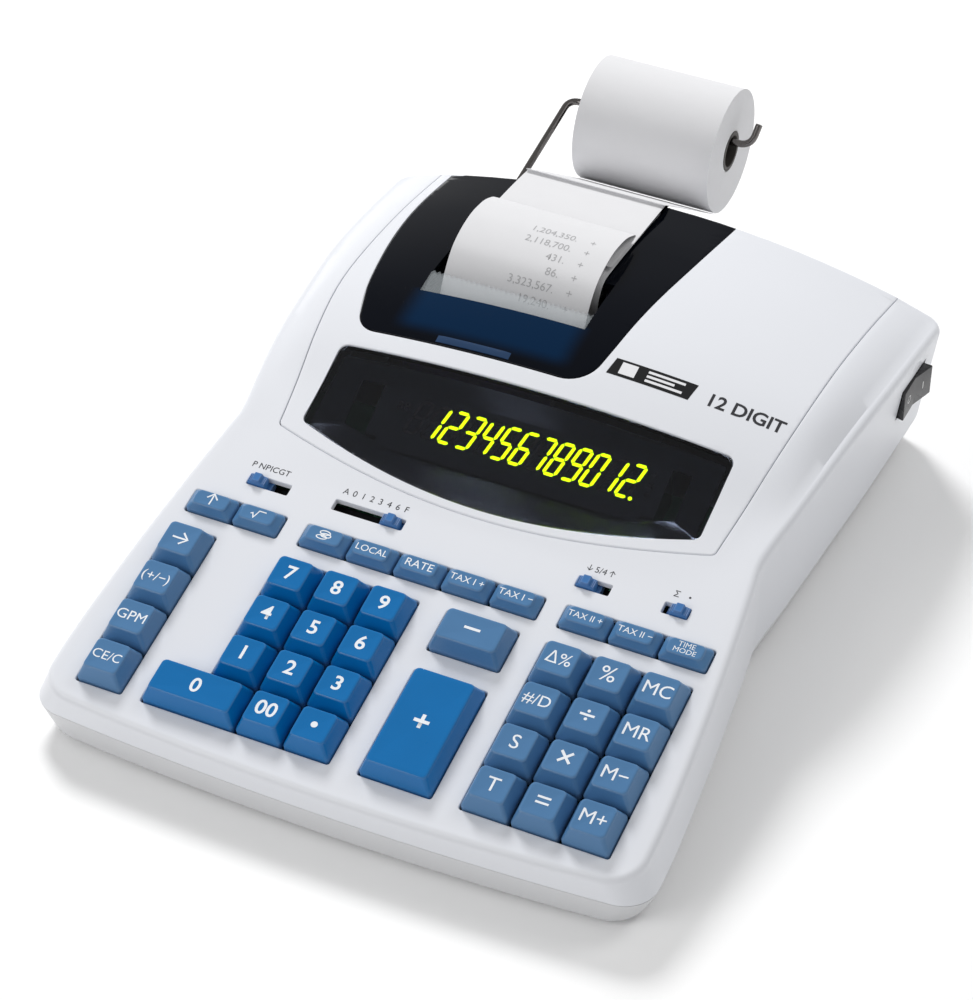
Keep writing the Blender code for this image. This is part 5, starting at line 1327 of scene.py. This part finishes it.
class CALCULATOR_OT_base(Operator):
    """Sets rubber feet and screws under the base, vents in it, and the power inlet in the rear wall"""
    bl_idname = "calculator.base"
    bl_label = "Base"

    def execute(self, context):
        s = context.scene.calc_case
        rubber = finish("foot_rubber", s.rubber, 0.8, grain=0.03, grain_size=0.8, mottle=0.15, mottle_size=4)
        screw = finish("screw_zinc", (0.42, 0.42, 0.44), 0.35, metallic=1.0, mottle=0.1, mottle_size=2, grain=0.004)
        black = finish("inlet_black", (0.015, 0.015, 0.017), 0.35, grain=0.01, grain_size=0.8, mottle=0.15)
        places = places_tree()
        rings = [[(a, b, z * MM) for a, b in disc(r * MM, 48)]
                 for r, z in ((6.6, 0.15), (7.6, 0.0), (7.95, 0.35), (8.0, 1.2), (8.0, 2.2))]
        pad = mesh_object("pad", *loft(rings), matrix=Matrix.Identity(4))
        head = mesh_object("head", *loft([[(a, b, z * MM) for a, b in disc(r * MM, 24)]
                                          for r, z in ((2.4, 1.5), (3.0, 1.75), (3.0, 2.2))]), matrix=Matrix.Identity(4))
        for x, y in ((1.9, 0.55), (0.55, 1.9)):
            cut = prism("cut", rectangle(2 * x * MM, y * MM if y < x else 2 * y * MM, 0), 1.2 * MM, 1.9 * MM,
                        matrix=Matrix.Identity(4)) if x > y else prism("cut", rectangle(0.55 * MM, 3.8 * MM, 0), 1.2 * MM,
                                                                       1.9 * MM, matrix=Matrix.Identity(4))
            boolean(head, cut, "DIFFERENCE")
            baked(head)
            drop(cut)
        screws = [(x * MM, y * MM - CENTRE_Y) for x in (-78, 78) for y in (40, 130, 226)]
        for name, pattern, points, paint, turn in (("rubber_feet", pad, FOOT_PLACES, rubber, 0.0),
                                                   ("base_screws", head, screws, screw, 1.5)):
            made = bpy.data.objects.new(name, bpy.data.meshes.new(name))
            made.data.from_pydata([(x, y, 0) for x, y in points], [], [])
            context.scene.collection.objects.link(made)
            grow_nodes(made, places, {"Pattern": pattern, "Largest Turn": turn, "Seed": 5, "Finish": paint})
            settle(made)
        drop(pad, head)
        slat = prism("base_vents", rectangle(2.0 * MM, 44 * MM, 0.9 * MM), 1.55 * MM, 2.1 * MM,
                     matrix=Matrix.Identity(4))
        grow_nodes(slat, line_tree(), {"Count": 14, "Spacing": (4.2 * MM, 0, 0), "Finish": black})
        slat.data.transform(Matrix.Translation((-27 * MM, 190 * MM - CENTRE_Y, 0)))
        settle(slat)
        y = REAR_Y - CENTRE_Y
        rings = [[(60 * MM + a * g, yy, 24 * MM + b * g) for a, b in rectangle(18.4 * MM, 8.4 * MM, 3.7 * MM, 8)]
                 for g, yy in ((1.0, y - 7 * MM), (1.0, y + 0.25 * MM), (0.97, y + 0.4 * MM), (0.84, y + 0.4 * MM),
                               (0.82, y + 0.25 * MM), (0.8, y - 6 * MM))]
        socket = mesh_object("power_inlet", *loft(rings), matrix=Matrix.Identity(4), paint=black)
        settle(socket, angle=30)
        pins = joined("inlet_pins", [
            mesh_object("pin", *loft([[(x * MM + a * g, yy, 24 * MM + b * g) for a, b in disc(1.2 * MM, 20)]
                                      for g, yy in ((1, y - 6.3 * MM), (1, y - 1.6 * MM), (0.6, y - 1 * MM))]),
                        matrix=Matrix.Identity(4)) for x in (56, 64)], screw)
        settle(pins)
        return {"FINISHED"}


class CALCULATOR_OT_badge(Operator):
    """Sets a plain dark plate with a small paper-strip sign beside the printer"""
    bl_idname = "calculator.badge"
    bl_label = "Badge"

    def execute(self, context):
        plate = finish("badge_black", (0.008, 0.008, 0.009), 0.3, mottle=0.1, mottle_size=3)
        light = finish("badge_light", (0.8, 0.8, 0.82), 0.4, mottle=0.05, mottle_size=2)

        left, right, low, high, lean = 20.5 * MM, 51.5 * MM, 171.6 * MM, 178.8 * MM, 1.2 * MM
        rings = []
        for x in spread(left, right, 14):
            column = [(x + lean * k / 4, low + (high - low) * k / 4) for k in range(5)]
            rings.append([(a, b, top_height(a, b) - 0.15 * MM) for a, b in column]
                         + [(a, b, top_height(a, b) + 0.12 * MM) for a, b in reversed(column)])
        body = mesh_object("badge_plate", *loft(rings), paint=plate)
        settle(body)
        bars = []
        for x0, x1, y0, y1 in ((24.5, 30.5, 172.7, 177.8), (34.5, 48.5, 176.6, 177.6),
                               (34.5, 45.0, 174.7, 175.7), (34.5, 48.5, 172.8, 173.8)):
            strip = []
            for x in spread(x0 * MM, x1 * MM, 6):
                column = [(x, y) for y in spread(y0 * MM, y1 * MM, 3)]
                strip.append([(a, b, top_height(a, b) + 0.08 * MM) for a, b in column]
                             + [(a, b, top_height(a, b) + 0.17 * MM) for a, b in reversed(column)])
            bars.append(mesh_object("bar", *loft(strip)))
        sign = joined("badge_sign", bars, light)
        settle(sign)
        ink = finish("badge_ink", (0.035, 0.035, 0.04), 0.5, mottle=0.1, mottle_size=2)
        count = words("badge_digit_count", "12 DIGIT", 7.6 * MM, Matrix.Translation((0, -CENTRE_Y, 0)), ink, 0.02,
                      wrap=lambda p: Vector((p.x + 72 * MM, p.y + 174.6 * MM,
                                             top_height(p.x + 72 * MM, p.y + 174.6 * MM) + 0.06 * MM)))
        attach(count, "case")
        return {"FINISHED"}


class CALCULATOR_OT_finishes(Operator):
    """Gives the inner pieces that keep their own shape a detailed finish"""
    bl_idname = "calculator.finishes"
    bl_label = "Inner Finishes"

    def execute(self, context):
        paints = {
            "display_tube": finish("tube_glass", (0.006, 0.005, 0.006), 0.06, mottle=0.2, mottle_size=8, coat=0.5),
            "key_board": finish("board_green", (0.02, 0.12, 0.05), 0.4, grain=0.02, grain_size=1.2, mottle=0.3,
                                mottle_size=5, coat=0.3),
            "printer_frame": finish("frame_steel", (0.3, 0.3, 0.31), 0.35, metallic=1.0, grain=0.006, grain_size=0.5,
                                    mottle=0.12, mottle_size=10),
            "feed_roller": finish("roller_rubber", (0.02, 0.02, 0.021), 0.75, grain=0.02, grain_size=0.5,
                                  mottle=0.15),
            "ink_roller": finish("ink_felt", (0.04, 0.02, 0.1), 0.9, grain=0.05, grain_size=0.6, mottle=0.3,
                                 mottle_size=2),
            "transformer": finish("core_steel", (0.2, 0.2, 0.21), 0.4, metallic=0.8, grain=0.02, grain_size=0.7,
                                  mottle=0.2, mottle_size=6),
        }
        for node, paint in paints.items():
            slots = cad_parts[node].material_slots
            for place in slots:
                place.material = paint
            if not slots:
                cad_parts[node].data.materials.append(paint)
        return {"FINISHED"}


class CALCULATOR_OT_stage(Operator):
    """Sets up the floor, the soft lights and the camera"""
    bl_idname = "calculator.stage"
    bl_label = "Studio"

    def execute(self, context):
        s, scene = context.scene.calc_studio, context.scene
        camera = bpy.data.objects.new("camera", bpy.data.cameras.new("camera"))
        scene.collection.objects.link(camera)
        camera.data.sensor_fit = "HORIZONTAL"
        camera.data.sensor_width = 36.0
        camera.data.lens = s.lens
        camera.location = s.place
        camera.rotation_euler = s.turn
        camera.data.clip_end = 20.0
        scene.camera = camera
        white = finish("floor_white", s.floor, 0.9, mottle=0.004, mottle_size=300, specular=0.1)
        floor = mesh_object("floor", [(-4, -4, -0.0002), (4, -4, -0.0002), (4, 4, -0.0002), (-4, 4, -0.0002)],
                            [(0, 1, 2, 3)], matrix=Matrix.Identity(4), paint=white)
        world = bpy.data.worlds.new("studio")
        scene.world = world
        world.use_nodes = True
        world.node_tree.nodes["Background"].inputs["Color"].default_value = (1, 1, 1, 1)
        world.node_tree.nodes["Background"].inputs["Strength"].default_value = s.sky
        for name, place, aim, size, power in (
                ("key_light", (-0.95, 1.1, 1.45), (0, 0, 0.03), 0.6, 27.0),
                ("front_fill", (-0.9, -1.5, 1.2), (0, 0, 0.03), 1.2, 11.0),
                ("top_glow", (0.9, 0.9, 1.5), (0, 0.05, 0.03), 0.8, 6.0)):
            lamp = bpy.data.lights.new(name, "AREA")
            lamp.shape = "DISK"
            lamp.size = size
            lamp.energy = power
            light = bpy.data.objects.new(name, lamp)
            scene.collection.objects.link(light)
            light.location = place
            light.rotation_euler = (Vector(aim) - Vector(place)).to_track_quat("-Z", "Y").to_euler()
            light.visible_glossy = name == "front_fill"
        scene.view_settings.view_transform = "Standard"
        scene.view_settings.look = "None"
        return {"FINISHED"}


class CALCULATOR_PT_panel(Panel):
    """Lists the calculator's pieces and their settings"""
    bl_label = "Desk Printing Calculator"
    bl_idname = "CALCULATOR_PT_panel"
    bl_space_type = "VIEW_3D"
    bl_region_type = "UI"
    bl_category = "Calculator"

    def draw(self, context):
        for operator in OPERATORS:
            self.layout.operator(operator.bl_idname)
        for attribute, group in SETTINGS:
            area = self.layout.box()
            area.label(text=group.__name__.replace("Settings", ""))
            for label in group.__annotations__:
                area.prop(getattr(context.scene, attribute), label)


OPERATORS = (CALCULATOR_OT_case, CALCULATOR_OT_keys, CALCULATOR_OT_switches, CALCULATOR_OT_display,
             CALCULATOR_OT_printer, CALCULATOR_OT_paper, CALCULATOR_OT_holder, CALCULATOR_OT_base,
             CALCULATOR_OT_badge, CALCULATOR_OT_finishes, CALCULATOR_OT_stage)
CLASSES = tuple(group for _, group in SETTINGS) + OPERATORS + (CALCULATOR_PT_panel,)


def register():
    for item in CLASSES:
        bpy.utils.register_class(item)
    for attribute, group in SETTINGS:
        setattr(bpy.types.Scene, attribute, PointerProperty(type=group))


def unregister():
    for attribute, _ in SETTINGS:
        delattr(bpy.types.Scene, attribute)
    for item in reversed(CLASSES):
        bpy.utils.unregister_class(item)


def main():
    register()
    for operator in OPERATORS:
        category, name = operator.bl_idname.split(".")
        getattr(getattr(bpy.ops, category), name)()


if __name__ == "__main__":
    main()
